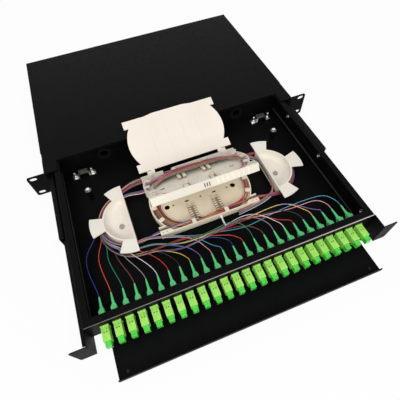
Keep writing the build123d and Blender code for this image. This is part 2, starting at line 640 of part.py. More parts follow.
# Fibre spools: half-round cups with three fan-shaped tabs that hold the fibre down
SPOOL_TOP = DRAWER_FLOOR + SPOOL_HEIGHT
for side, sign in SIDES.items():
    outward = 180 if sign < 0 else 0
    tab_angles = (
        (outward - SPOOL_SIDE_TAB_ANGLE, 2 * SPOOL_SIDE_TAB_ANGLE),
        (90 if sign < 0 else 90 - SPOOL_END_TAB_ANGLE, SPOOL_END_TAB_ANGLE),
        (270 - SPOOL_END_TAB_ANGLE if sign < 0 else 270, SPOOL_END_TAB_ANGLE),
    )
    with BuildPart() as spool:
        with BuildSketch(level(DRAWER_FLOOR)):
            with BuildLine():
                arc = CenterArc((sign * SPOOL_X, SPOOL_Y), SPOOL_RADIUS, 90 if sign < 0 else -90, 180)
                Line(arc @ 0, arc @ 1)
            make_face()
        extrude(amount=SPOOL_HEIGHT)
        with BuildSketch(level(DRAWER_FLOOR + SPOOL_FLOOR)):
            with BuildLine():
                arc = CenterArc((sign * SPOOL_X, SPOOL_Y), SPOOL_RADIUS, 90 if sign < 0 else -90, 180)
                Line(arc @ 0, arc @ 1)
            make_face()
            offset(amount=-SPOOL_WALL, kind=Kind.INTERSECTION, mode=Mode.REPLACE)
        extrude(amount=SPOOL_HEIGHT, mode=Mode.SUBTRACT)
        dish = spool.faces().filter_by(Axis.Z).sort_by(lambda f: abs(f.center().Z - DRAWER_FLOOR - SPOOL_FLOOR))[0]
        fillet(dish.edges().filter_by(GeomType.CIRCLE), SPOOL_DISH_RADIUS)
        for first, span in tab_angles:
            with BuildSketch(level(SPOOL_TOP - SPOOL_TAB)):
                with BuildLine():
                    inner = CenterArc((sign * SPOOL_X, SPOOL_Y), SPOOL_RADIUS - SPOOL_WALL / 2, first, span)
                    outer = CenterArc((sign * SPOOL_X, SPOOL_Y), SPOOL_TAB_RADIUS, first, span)
                    Line(inner @ 0, outer @ 0)
                    Line(inner @ 1, outer @ 1)
                make_face()
            extrude(amount=SPOOL_TAB)
        with BuildSketch(level(DRAWER_FLOOR)):
            with Locations((sign * SPOOL_SCREW[0], SPOOL_SCREW[1])):
                Circle(SPOOL_SCREW_RADIUS + SCREW_CLEARANCE)
        extrude(amount=SPOOL_FLOOR, mode=Mode.SUBTRACT)
    save(spool.part, f"spool_{side}")

spool_screw_planes = [
    level(DRAWER_FLOOR + SPOOL_FLOOR).shift_origin((s * SPOOL_SCREW[0], SPOOL_SCREW[1], DRAWER_FLOOR + SPOOL_FLOOR))
    for s in SIDES.values()
]
spool_screws = pan_screws(spool_screw_planes, SPOOL_SCREW_RADIUS, SPOOL_FLOOR + SHEET, 4.2, 2.4)
save(spool_screws.part, "spool_screws")

# Cable posts: turned standoffs for the strength member, each with a clamping screw on top
POST_TOP = DRAWER_FLOOR + POST_HEIGHT
with BuildPart() as cable_posts:
    with BuildSketch(level(DRAWER_FLOOR)):
        with GridLocations(2 * POST_X, 1, 2, 1):
            with Locations((0, POST_Y)):
                Circle(POST_RADIUS)
    extrude(amount=POST_HEIGHT)
    chamfer(cable_posts.edges().filter_by(GeomType.CIRCLE).group_by(Axis.Z)[-1], 0.8)
    with BuildSketch(level(POST_TOP)):
        with GridLocations(2 * POST_X, 1, 2, 1):
            with Locations((0, POST_Y)):
                Circle(POST_SCREW_RADIUS + SCREW_CLEARANCE)
    extrude(amount=-POST_SCREW_DEPTH - SCREW_CLEARANCE, mode=Mode.SUBTRACT)
save(cable_posts.part, "cable_posts")

with BuildPart() as post_washers:
    with BuildSketch(level(POST_TOP)):
        with GridLocations(2 * POST_X, 1, 2, 1):
            with Locations((0, POST_Y)):
                Circle(POST_RADIUS + 0.8)
                Circle(POST_SCREW_RADIUS + SCREW_CLEARANCE, mode=Mode.SUBTRACT)
    extrude(amount=WASHER)
save(post_washers.part, "post_washers")

post_screw_planes = [level(POST_TOP + WASHER).shift_origin((s * POST_X, POST_Y, POST_TOP + WASHER)) for s in SIDES.values()]
post_screws = pan_screws(post_screw_planes, POST_SCREW_RADIUS, WASHER + POST_SCREW_DEPTH, 3.4, 2.6)
save(post_screws.part, "post_screws")

# Saddle clamps for the incoming cables, on studs with nuts
CLAMP_HUMP = 2 * CLAMP_RADIUS
with BuildPart() as cable_clamps:
    for sign in SIDES.values():
        with BuildSketch(along_y(CLAMP_Y + CLAMP_WIDTH / 2, sign * CLAMP_X, DRAWER_FLOOR)):
            with BuildLine():
                FilletPolyline(
                    (-CLAMP_SPACING / 2 - CLAMP_WIDTH / 2, 0),
                    (-CLAMP_RADIUS - 0.8, 0),
                    (-CLAMP_RADIUS, CLAMP_RISE),
                    (CLAMP_RADIUS, CLAMP_RISE),
                    (CLAMP_RADIUS + 0.8, 0),
                    (CLAMP_SPACING / 2 + CLAMP_WIDTH / 2, 0),
                    radius=1.8,
                )
                offset(amount=CLAMP_SHEET, side=Side.LEFT)
            make_face()
        extrude(amount=CLAMP_WIDTH)
        with BuildSketch(level(DRAWER_FLOOR)):
            with Locations((sign * CLAMP_X, CLAMP_Y)):
                with GridLocations(CLAMP_SPACING, 1, 2, 1):
                    Circle(STUD_RADIUS + SCREW_CLEARANCE)
        extrude(amount=CLAMP_SHEET, mode=Mode.SUBTRACT)
save(cable_clamps.part, "cable_clamps")

with BuildPart() as clamp_studs:
    for sign in SIDES.values():
        with BuildSketch(level(DRAWER_BOTTOM)):
            with Locations((sign * CLAMP_X, CLAMP_Y)):
                with GridLocations(CLAMP_SPACING, 1, 2, 1):
                    Circle(STUD_RADIUS)
        extrude(amount=SHEET + STUD_HEIGHT)
    chamfer(clamp_studs.edges().filter_by(GeomType.CIRCLE).group_by(Axis.Z)[-1], 0.6)
save(clamp_studs.part, "clamp_studs")

with BuildPart() as clamp_nuts:
    for sign in SIDES.values():
        with BuildSketch(level(DRAWER_FLOOR + CLAMP_SHEET)):
            with Locations((sign * CLAMP_X, CLAMP_Y)):
                with GridLocations(CLAMP_SPACING, 1, 2, 1):
                    RegularPolygon(NUT_RADIUS, 6)
                    Circle(STUD_RADIUS + SCREW_CLEARANCE, mode=Mode.SUBTRACT)
        extrude(amount=NUT_HEIGHT)
save(clamp_nuts.part, "clamp_nuts")

# Rubber grommets in the cable entries of the drawer's rear wall
with BuildPart() as entry_grommets:
    for y, radius, depth in (
        (DRAWER_REAR, ENTRY_RADIUS, SHEET),
        (DRAWER_REAR - SHEET, ENTRY_RADIUS + GROMMET_LIP, GROMMET_LIP_DEPTH),
        (DRAWER_REAR + GROMMET_LIP_DEPTH, ENTRY_RADIUS + GROMMET_LIP, GROMMET_LIP_DEPTH),
    ):
        with BuildSketch(along_y(y, 0, ENTRY_Z)):
            with GridLocations(2 * ENTRY_X, 1, 2, 1):
                Circle(radius)
                Circle(GROMMET_BORE, mode=Mode.SUBTRACT)
        extrude(amount=depth)
save(entry_grommets.part, "entry_grommets")

# Planes that the splice trays and the lid are built on
TILT = math.radians(TRAY_TILT)
HINGE_Z = DRAWER_FLOOR + HINGE_HEIGHT
TRAY_FORWARD = Vector(0, -math.cos(TILT), math.sin(TILT))
TRAY_UP = Vector(0, math.sin(TILT), math.cos(TILT))
HINGE_BACKSET = HINGE_Y - SPLICE_BACK
UPPER_DROP = HINGE_Z - (DRAWER_FLOOR + SPLICE_HEIGHT + SPLICE_GAP)
HINGE_POINT = Vector(0, HINGE_Y, HINGE_Z)
LOWER_PLANE = Plane(origin=(0, SPLICE_BACK, DRAWER_FLOOR), x_dir=(1, 0, 0), z_dir=(0, 0, 1))
UPPER_ORIGIN = HINGE_POINT + TRAY_FORWARD * HINGE_BACKSET - TRAY_UP * UPPER_DROP
UPPER_PLANE = Plane(origin=UPPER_ORIGIN, x_dir=(1, 0, 0), z_dir=TRAY_UP)
LID_RISE = SPLICE_HEIGHT - UPPER_DROP + LID_GAP + LID_THICKNESS / 2
LID_POINT = HINGE_POINT + TRAY_FORWARD * LID_SETBACK + TRAY_UP * LID_RISE
SLOPE = math.radians(LID_SLOPE)
LID_FORWARD = Vector(0, math.cos(SLOPE), math.sin(SLOPE))
LID_UP = Vector(0, -math.sin(SLOPE), math.cos(SLOPE))
LID_PLANE = Plane(origin=LID_POINT - LID_UP * (LID_THICKNESS / 2), x_dir=(1, 0, 0), z_dir=LID_UP)
SPLICE_MIDDLE = -SPLICE_DEPTH / 2


def splice_tray(base, name, ears, notched=False):
    """Oval tray on its base plane: walls, corner channels, retaining tabs, holes and hinge ears."""
    with BuildPart() as tray:
        with BuildSketch(base):
            with BuildLine():
                Line((-SIDE_ARC_X, 0), (SIDE_ARC_X, 0))
                ThreePointArc((SIDE_ARC_X, 0), (SPLICE_WIDTH / 2, SPLICE_MIDDLE), (SIDE_ARC_X, -SPLICE_DEPTH))
                Line((SIDE_ARC_X, -SPLICE_DEPTH), (-SIDE_ARC_X, -SPLICE_DEPTH))
                ThreePointArc((-SIDE_ARC_X, -SPLICE_DEPTH), (-SPLICE_WIDTH / 2, SPLICE_MIDDLE), (-SIDE_ARC_X, 0))
            make_face()
            with Locations((0, SPLICE_MIDDLE)):
                with GridLocations(SPLICE_CORNER_WIDTH - CORNER_BLOCK_X, SPLICE_DEPTH - CORNER_BLOCK_Y, 2, 2):
                    Rectangle(CORNER_BLOCK_X, CORNER_BLOCK_Y)
        extrude(amount=SPLICE_HEIGHT)
        with BuildSketch(base.offset(SPLICE_FLOOR)):
            with BuildLine():
                Line((-SIDE_ARC_X, 0), (SIDE_ARC_X, 0))
                ThreePointArc((SIDE_ARC_X, 0), (SPLICE_WIDTH / 2, SPLICE_MIDDLE), (SIDE_ARC_X, -SPLICE_DEPTH))
                Line((SIDE_ARC_X, -SPLICE_DEPTH), (-SIDE_ARC_X, -SPLICE_DEPTH))
                ThreePointArc((-SIDE_ARC_X, -SPLICE_DEPTH), (-SPLICE_WIDTH / 2, SPLICE_MIDDLE), (-SIDE_ARC_X, 0))
            make_face()
            offset(amount=-SPLICE_WALL, mode=Mode.REPLACE)
        extrude(amount=SPLICE_HEIGHT, mode=Mode.SUBTRACT)
        with BuildSketch(base.offset(SPLICE_HEIGHT - TAB_THICKNESS)):
            for x, turn in ((SIDE_ARC_CENTRE, 0), (-SIDE_ARC_CENTRE, 180)):
                with Locations((x, SPLICE_MIDDLE)):
                    with PolarLocations(SIDE_ARC_RADIUS - TAB_LENGTH / 2, 3, turn - TAB_ANGLE, 2 * TAB_ANGLE,
                                        endpoint=True):
                        Rectangle(TAB_LENGTH, TAB_WIDTH)
            with Locations((0, SPLICE_MIDDLE)):
                with GridLocations(2 * TAB_X, SPLICE_DEPTH - TAB_LENGTH, 2, 2):
                    Rectangle(TAB_WIDTH, TAB_LENGTH)
        extrude(amount=TAB_THICKNESS)
        with BuildSketch(base):
            with Locations((0, SPLICE_MIDDLE)):
                Circle(CENTRE_HOLE_RADIUS)
                with GridLocations(2 * SLOT_X, 1, 2, 1):
                    SlotOverall(SLOT_LENGTH, 2 * CENTRE_HOLE_RADIUS)
                with GridLocations(2 * SMALL_HOLE_X, 1, 2, 1):
                    Circle(CENTRE_HOLE_RADIUS)
                with GridLocations(2 * BIG_HOLE_X, 1, 2, 1):
                    Circle(BIG_HOLE_RADIUS)
        extrude(amount=SPLICE_FLOOR, mode=Mode.SUBTRACT)
        with BuildSketch(base.offset(SPLICE_HEIGHT)):
            with Locations((0, SPLICE_MIDDLE)):
                with GridLocations(2 * CORNER_HOLE_X, SPLICE_DEPTH - 2 * CORNER_HOLE_EDGE, 2, 2):
                    with GridLocations(CORNER_HOLE_SPACING, 1, 2, 1):
                        Circle(CORNER_HOLE_RADIUS)
        extrude(amount=-CORNER_HOLE_DEPTH, mode=Mode.SUBTRACT)
        with BuildSketch(base.offset(SPLICE_FLOOR)):
            with Locations((0, SPLICE_MIDDLE)):
                with GridLocations(2 * CHANNEL_X, 2 * CHANNEL_Y, 2, 2):
                    Rectangle(CHANNEL_LENGTH, CHANNEL_WIDTH)
            if notched:
                with Locations((NOTCH_X, -SPLICE_WALL / 2)):
                    Rectangle(NOTCH_WIDTH, SPLICE_WALL + 1)
        extrude(amount=SPLICE_HEIGHT, mode=Mode.SUBTRACT)
        for plane, width, shapes, pin in ears:
            for half in (-1, 1):
                corner = plane.origin + Vector(half * shapes[0] - width / 2, 0, 0)
                start = Plane(origin=corner, x_dir=plane.x_dir, z_dir=plane.z_dir)
                with BuildSketch(start):
                    Circle(EAR_RADIUS)
                    with BuildLine():
                        Polyline(*shapes[1], close=True)
                    make_face()
                    Circle(pin, mode=Mode.SUBTRACT)
                extrude(amount=width)
    save(tray.part, name)
    return tray


def hinge_side_plane(origin, backward):
    """Plane across a hinge axis: its normal along X, its first direction backward."""
    return Plane(origin=origin, x_dir=backward, z_dir=(1, 0, 0))


lower_side = hinge_side_plane(HINGE_POINT, (0, 1, 0))
upper_side = hinge_side_plane(HINGE_POINT, TRAY_FORWARD * -1)
lid_side = hinge_side_plane(LID_POINT, TRAY_FORWARD * -1)
wall_reach = HINGE_BACKSET + SPLICE_WALL / 2
lower_ear = [(-wall_reach, -HINGE_HEIGHT), (EAR_RADIUS, -HINGE_HEIGHT), (EAR_RADIUS, 0), (-EAR_RADIUS, 0),
             (-EAR_RADIUS, SPLICE_HEIGHT - HINGE_HEIGHT), (-wall_reach, SPLICE_HEIGHT - HINGE_HEIGHT)]
upper_ear = [(-wall_reach, -EAR_RADIUS), (0, -EAR_RADIUS), (0, EAR_RADIUS), (-wall_reach, EAR_RADIUS)]
lid_ear_drop = LID_RISE - SPLICE_HEIGHT + UPPER_DROP
lid_reach = HINGE_BACKSET - LID_SETBACK + SPLICE_WALL / 2
lid_ear = [(-lid_reach, -LID_EAR_DEPTH), (0, -LID_EAR_DEPTH), (EAR_RADIUS, 0), (0, 0),
           (-lid_reach, -lid_ear_drop)]
pin_fit = HINGE_PIN_RADIUS + PIN_SEAT
pin_run = HINGE_PIN_RADIUS + PIN_CLEARANCE
splice_tray_lower = splice_tray(LOWER_PLANE, "splice_tray_lower", [(lower_side, OUTER_EAR_WIDTH, (OUTER_EAR_X, lower_ear), pin_fit)])
splice_tray_upper = splice_tray(UPPER_PLANE, "splice_tray_upper", [
    (upper_side, INNER_EAR_WIDTH, (INNER_EAR_X, upper_ear), pin_run),
    (lid_side, LID_EAR_WIDTH, (TRAY_LID_EAR_X, lid_ear), pin_fit),
], notched=True)


def comb(base, name):
    """Four splice holders on a tray floor, each two columns of short ribs on a thin pad."""
    with BuildPart() as holders:
        with BuildSketch(base.offset(SPLICE_FLOOR)):
            with Locations((0, SPLICE_MIDDLE)):
                with GridLocations(2 * COMB_X, 2 * COMB_Y, 2, 2):
                    Rectangle(COMB_WIDTH, COMB_LENGTH)
        extrude(amount=COMB_PAD)
        with BuildSketch(base.offset(SPLICE_FLOOR + COMB_PAD)):
            with Locations((0, SPLICE_MIDDLE)):
                with GridLocations(2 * COMB_X, 2 * COMB_Y, 2, 2):
                    with GridLocations(COMB_WIDTH - RIB_WIDTH, COMB_PITCH, 2, COMB_RIBS):
                        Rectangle(RIB_WIDTH, RIB_THICKNESS)
        extrude(amount=RIB_HEIGHT)
    save(holders.part, name)


comb(LOWER_PLANE, "splice_holders_lower")
comb(UPPER_PLANE, "splice_holders_upper")


def pins(point, first, last, name):
    """A pair of hinge pins along X, mirrored about the middle."""
    with BuildPart() as pair:
        for half in (-1, 1):
            with BuildSketch(Plane(origin=point + Vector(half * first, 0, 0), x_dir=(0, 1, 0), z_dir=(half, 0, 0))):
                Circle(HINGE_PIN_RADIUS)
            extrude(amount=last - first)
    save(pair.part, name)


pins(HINGE_POINT, INNER_EAR_X - INNER_EAR_WIDTH / 2, OUTER_EAR_X + OUTER_EAR_WIDTH / 2, "tray_hinge_pins")
pins(LID_POINT, LID_KNUCKLE_X - LID_EAR_WIDTH / 2, TRAY_LID_EAR_X + LID_EAR_WIDTH / 2, "lid_hinge_pins")

# Tray lid: thin oval plate with corner tabs, shallow ribs and two hinge knuckles
with BuildPart() as tray_lid:
    with BuildSketch(LID_PLANE):
        with BuildLine():
            Line((-SIDE_ARC_X, LID_EDGE), (SIDE_ARC_X, LID_EDGE))
            ThreePointArc((SIDE_ARC_X, LID_EDGE), (SPLICE_WIDTH / 2, LID_LENGTH / 2), (SIDE_ARC_X, LID_LENGTH - LID_STEP))
            Polyline(
                (SIDE_ARC_X, LID_LENGTH - LID_STEP),
                (LID_STEP_X, LID_LENGTH - LID_STEP),
                (LID_STEP_X - LID_STEP_RUN, LID_LENGTH),
                (LID_STEP_RUN - LID_STEP_X, LID_LENGTH),
                (-LID_STEP_X, LID_LENGTH - LID_STEP),
                (-SIDE_ARC_X, LID_LENGTH - LID_STEP),
            )
            ThreePointArc((-SIDE_ARC_X, LID_LENGTH - LID_STEP), (-SPLICE_WIDTH / 2, LID_LENGTH / 2), (-SIDE_ARC_X, LID_EDGE))
        make_face()
        with Locations((0, (LID_EDGE + LID_LENGTH - LID_STEP) / 2)):
            with GridLocations(SPLICE_CORNER_WIDTH - CORNER_BLOCK_X, LID_LENGTH - LID_STEP - LID_EDGE - CORNER_BLOCK_Y, 2, 2):
                Rectangle(CORNER_BLOCK_X, CORNER_BLOCK_Y)
    extrude(amount=LID_THICKNESS)
    with BuildSketch(LID_PLANE.offset(LID_THICKNESS)):
        with Locations((0, LID_LENGTH / 2)):
            with GridLocations(LID_RIB_SPACING, 1, 4, 1):
                Rectangle(1.2, LID_LENGTH - 40)
    extrude(amount=LID_RIB)
    for half in (-1, 1):
        side_plane = hinge_side_plane(LID_POINT + Vector(half * LID_KNUCKLE_X - LID_EAR_WIDTH / 2, 0, 0), LID_FORWARD)
        with BuildSketch(side_plane):
            Circle(EAR_RADIUS)
            with BuildLine():
                Polyline((0, -LID_THICKNESS / 2), (LID_EDGE + 1, -LID_THICKNESS / 2), (LID_EDGE + 1, LID_THICKNESS / 2),
                         (0, LID_THICKNESS / 2), close=True)
            make_face()
            Circle(pin_run, mode=Mode.SUBTRACT)
        extrude(amount=LID_EAR_WIDTH)
save(tray_lid.part, "tray_lid")

# Fibres. Pigtails leave the boots, drift into a stack in front of the splice trays and turn round
# the left spool; their stack is ordered so that no two of them meet.
COLOURS = ("blue", "orange", "green", "brown", "grey", "white", "red", "black", "yellow", "violet", "pink", "aqua")
BOOT_TIP_Y = PLUG_BACK + BOOT_LENGTH


def stack_place(order):
    """Radius and height of a pigtail's place in the stack, counted from the innermost."""
    column = order // STACK_ROWS
    row = order % STACK_ROWS
    return STACK_RADIUS + column * STACK_PITCH, STACK_Z + row * STACK_PITCH


def round_spool(radius, z, angle):
    """Point on the way round the left spool and the direction of travel there."""
    turn = math.radians(angle)
    point = Vector(-SPOOL_X + radius * math.cos(turn), SPOOL_Y + radius * math.sin(turn), z)
    return point, Vector(math.sin(turn), -math.cos(turn), 0)


def spool_arc(radius, z, first, last):
    """Points round the left spool between two angles, without the first."""
    steps = max(1, round((first - last) / ARC_STEP))
    return [round_spool(radius, z, first + (last - first) * i / steps)[0] for i in range(1, steps + 1)]


def lane_point(order, x):
    """Point of a pigtail's lane in front of the trays and its direction per unit of travel."""
    radius, z = stack_place(order)
    share = (LANE_START - x) / (LANE_START + SPOOL_X)
    ease = share * share * (3 - 2 * share)
    slope = 6 * share * (1 - share) / (LANE_START + SPOOL_X)
    lane_y = LANE_REAR - order * LANE_PITCH
    point = Vector(x, lane_y + (SPOOL_Y - radius - lane_y) * ease, PORT_Z + (z - PORT_Z) * ease)
    return point, Vector(-1, (SPOOL_Y - radius - lane_y) * slope, (z - PORT_Z) * slope)


def pigtail_points(index):
    """Points along the pigtail at the given port, counted from the left."""
    order = PORTS - 1 - index
    radius, z = stack_place(order)
    start = Vector((index - (PORTS - 1) / 2) * PORT_PITCH, BOOT_TIP_Y, PORT_Z)
    rest = []
    if index < len(JOIN_ANGLES):
        join, way = round_spool(radius, z, JOIN_ANGLES[index])
        rest += spool_arc(radius, z, JOIN_ANGLES[index], STACK_END_ANGLE)
    else:
        join, way = lane_point(order, start.X - TURN_REACH)
        lane_x = (math.ceil(join.X / LANE_STEP) - 1) * LANE_STEP
        while lane_x > -SPOOL_X + LANE_STEP / 4:
            rest.append(lane_point(order, lane_x)[0])
            lane_x -= LANE_STEP
        rest.append(lane_point(order, -SPOOL_X)[0])
        rest += spool_arc(radius, z, 270, STACK_END_ANGLE)
    reach = (join - start).length
    lead = Bezier(start, start + Vector(0, START_HANDLE * reach, 0), join - way * (END_HANDLE * reach), join)
    if index == 0:
        rest = []
    return [lead.position_at(i / LEAD_STEPS) for i in range(LEAD_STEPS + 1)] + rest


def fibre(points, radius, sides=6):
    """Faceted strand along a chain of points."""
    with BuildPart() as strand:
        with BuildLine() as path:
            Polyline(*points)
        with BuildSketch(Plane(origin=points[0], z_dir=points[1] - points[0])):
            RegularPolygon(radius, sides)
        sweep(path=path.wires()[0], transition=Transition.RIGHT)
    return strand.part


for number, colour in enumerate(COLOURS):
    pair = Compound(children=[fibre(pigtail_points(i), FIBRE_RADIUS) for i in (number, number + len(COLOURS))])
    save(pair, f"pigtail_{colour}")

# Gathered pigtails: from the stack round the rear of the left spool to the hinge axis
STACK_CENTRE = STACK_RADIUS + STACK_PITCH * (STACK_ROWS - 1) / 2
STACK_LEVEL = STACK_Z + STACK_PITCH * (STACK_ROWS - 1) / 2
behind_spool = [round_spool(STACK_CENTRE, STACK_LEVEL, STACK_END_ANGLE - 0.4)[0]]
behind_spool += spool_arc(STACK_CENTRE, STACK_LEVEL, STACK_END_ANGLE, BUNDLE_END_ANGLE)
hinge_lead = Bezier(
    behind_spool[-1],
    behind_spool[-1] + Vector(14, 1, 0),
    Vector(-BUNDLE_REST_X - 16, LEAD_Y - 1, STACK_LEVEL),
    Vector(-BUNDLE_REST_X, LEAD_Y, STACK_LEVEL),
)
rise = Bezier(
    Vector(-BUNDLE_RISE_X, LEAD_Y, STACK_LEVEL),
    Vector(-BUNDLE_RISE_X + 8, LEAD_Y, STACK_LEVEL),
    Vector(TAIL_START - 8, HINGE_Y, HINGE_Z),
    Vector(TAIL_START - 2, HINGE_Y, HINGE_Z),
)
bundle_points = behind_spool + [hinge_lead.position_at(i / 4) for i in range(1, 5)]
bundle_points += [rise.position_at(i / 4) for i in range(5)] + [Vector(TAIL_START, HINGE_Y, HINGE_Z)]
save(fibre(bundle_points, BUNDLE_RADIUS, 8), "fibre_bundle_rear")

# The same fibres inside the upper tray; the two halves meet on the hinge axis
tail_local = [
    (TAIL_START, HINGE_BACKSET, UPPER_DROP),
    (TAIL_START + 3, HINGE_BACKSET, UPPER_DROP),
    (TAIL_START + 8, 2.0, UPPER_DROP + 0.9),
    (TAIL_START + 11.5, -2.0, UPPER_DROP + 2.6),
    (TAIL_START + 17, -7.0, TAIL_LEVEL),
    (TAIL_START + 24, -(SPLICE_DEPTH / 2 - CHANNEL_Y), TAIL_LEVEL),
    (12.0, -(SPLICE_DEPTH / 2 - CHANNEL_Y), TAIL_LEVEL),
]
save(fibre([UPPER_PLANE.from_local_coords(Vector(*p)) for p in tail_local], TAIL_RADIUS, 8), "fibre_tail_upper")

# Fibres that leave the lower tray through its corner channels and turn round a spool
for side, sign in SIDES.items():
    loop_radius = SPOOL_RADIUS + TAIL_RADIUS + 0.5
    middle_y = SPLICE_BACK + SPLICE_MIDDLE
    z = DRAWER_FLOOR + TAIL_LEVEL
    half = []
    for end, spool_end in ((-1, -loop_radius), (1, loop_radius)):
        channel_y = middle_y + end * CHANNEL_Y
        turn_y = SPOOL_Y + spool_end
        bend = Bezier(
            Vector(sign * (SPLICE_WIDTH / 2), channel_y, z),
            Vector(sign * (SPLICE_WIDTH / 2 + 12), channel_y, z),
            Vector(sign * (SPOOL_X - 12), turn_y, z),
            Vector(sign * SPOOL_X, turn_y, z),
        )
        half.append([Vector(sign * 10, channel_y, z)] + [bend.position_at(i / 4) for i in range(5)])
    turn = []
    for i in range(1, 14):
        angle = math.radians(-90 + 180 * i / 14)
        turn.append(Vector(sign * (SPOOL_X + loop_radius * math.cos(angle)), SPOOL_Y + loop_radius * math.sin(angle), z))
    save(fibre(half[0] + turn + half[1][::-1], TAIL_RADIUS, 8), f"fibre_loop_{side}")

# Coils of spare fibre round the inside of each tray
for base, name in ((LOWER_PLANE, "fibre_coil_lower"), (UPPER_PLANE, "fibre_coil_upper")):
    with BuildPart() as coil:
        with BuildSketch(base.offset(SPLICE_FLOOR)):
            with Locations((0, SPLICE_MIDDLE)):
                SlotOverall(2 * COIL_END, 2 * (CHANNEL_Y + COIL_WIDTH / 2))
                SlotOverall(2 * (COIL_END - COIL_WIDTH), 2 * (CHANNEL_Y - COIL_WIDTH / 2), mode=Mode.SUBTRACT)
        extrude(amount=COIL_WIDTH)
        chamfer(coil.edges().filter_by(base), 1.1)
    save(coil.part, name)
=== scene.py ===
import math
import random

import bmesh
import bpy
from mathutils import Matrix, Vector


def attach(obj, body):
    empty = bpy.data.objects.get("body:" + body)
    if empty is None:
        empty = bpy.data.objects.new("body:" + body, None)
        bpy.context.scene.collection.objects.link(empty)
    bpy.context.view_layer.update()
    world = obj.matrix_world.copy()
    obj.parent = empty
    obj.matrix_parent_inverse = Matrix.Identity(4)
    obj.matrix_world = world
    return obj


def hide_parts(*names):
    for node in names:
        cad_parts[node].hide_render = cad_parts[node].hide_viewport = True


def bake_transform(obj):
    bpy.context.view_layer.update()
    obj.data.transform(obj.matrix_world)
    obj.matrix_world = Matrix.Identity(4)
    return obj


# A sliding fibre optic patch panel: looks, loose fibres and small fittings around the CAD's solids.
# Lengths are millimetres times MM, in the CAD's frame: X right, Y to the rear, Z up.

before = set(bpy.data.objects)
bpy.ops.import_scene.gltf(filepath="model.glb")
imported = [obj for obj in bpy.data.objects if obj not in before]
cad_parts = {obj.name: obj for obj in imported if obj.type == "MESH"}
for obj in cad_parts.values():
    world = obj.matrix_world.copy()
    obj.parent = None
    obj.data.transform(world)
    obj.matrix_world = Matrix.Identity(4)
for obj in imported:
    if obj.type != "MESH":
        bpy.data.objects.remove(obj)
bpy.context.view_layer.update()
MM = 0.001
random.seed(24)


# Camera at the photograph's angle

CAMERA_AZIMUTH = math.radians(-17.85)
CAMERA_ELEVATION = math.radians(57.2)
CAMERA_ROLL = math.radians(-4.05)
CAMERA_TARGET = Vector((-6.6, -122.4, 0)) * MM
CAMERA_DISTANCE = 490 * MM
CAMERA_LENS = 29.475

back = Vector((
    math.sin(CAMERA_AZIMUTH) * math.cos(CAMERA_ELEVATION),
    -math.cos(CAMERA_AZIMUTH) * math.cos(CAMERA_ELEVATION),
    math.sin(CAMERA_ELEVATION),
))
level_right = Vector((0, 0, 1)).cross(back).normalized()
level_up = back.cross(level_right)
right = level_right * math.cos(CAMERA_ROLL) + level_up * math.sin(CAMERA_ROLL)
up = level_up * math.cos(CAMERA_ROLL) - level_right * math.sin(CAMERA_ROLL)
camera_data = bpy.data.cameras.new("camera")
camera_data.sensor_width = 36
camera_data.lens = CAMERA_LENS
camera_data.clip_start = 0.01
camera = bpy.data.objects.new("camera", camera_data)
turn = Matrix((right, up, back)).transposed().to_4x4()
camera.matrix_world = Matrix.Translation(CAMERA_TARGET + back * CAMERA_DISTANCE) @ turn
bpy.context.scene.collection.objects.link(camera)
bpy.context.scene.camera = camera


# Materials

def srgb(red, green, blue):
    """Linear colour of an 8-bit sRGB one."""
    return tuple(
        c / 255 / 12.92 if c <= 10 else ((c / 255 + 0.055) / 1.055) ** 2.4
        for c in (red, green, blue)
    )


def shade(colour, factor):
    """Colour with alpha, darker or lighter by a factor."""
    return (*[min(1, c * factor) for c in colour], 1)


GLOSS_SPREAD = 0.1
NOISE_LOW = 0.35
NOISE_HIGH = 0.65
# How far the rounded normal turns where the painted edge highlight is full, and where there is none
EDGE_FULL = 0.86
EDGE_NONE = 0.995
GRAIN_DEPTH = 0.0002


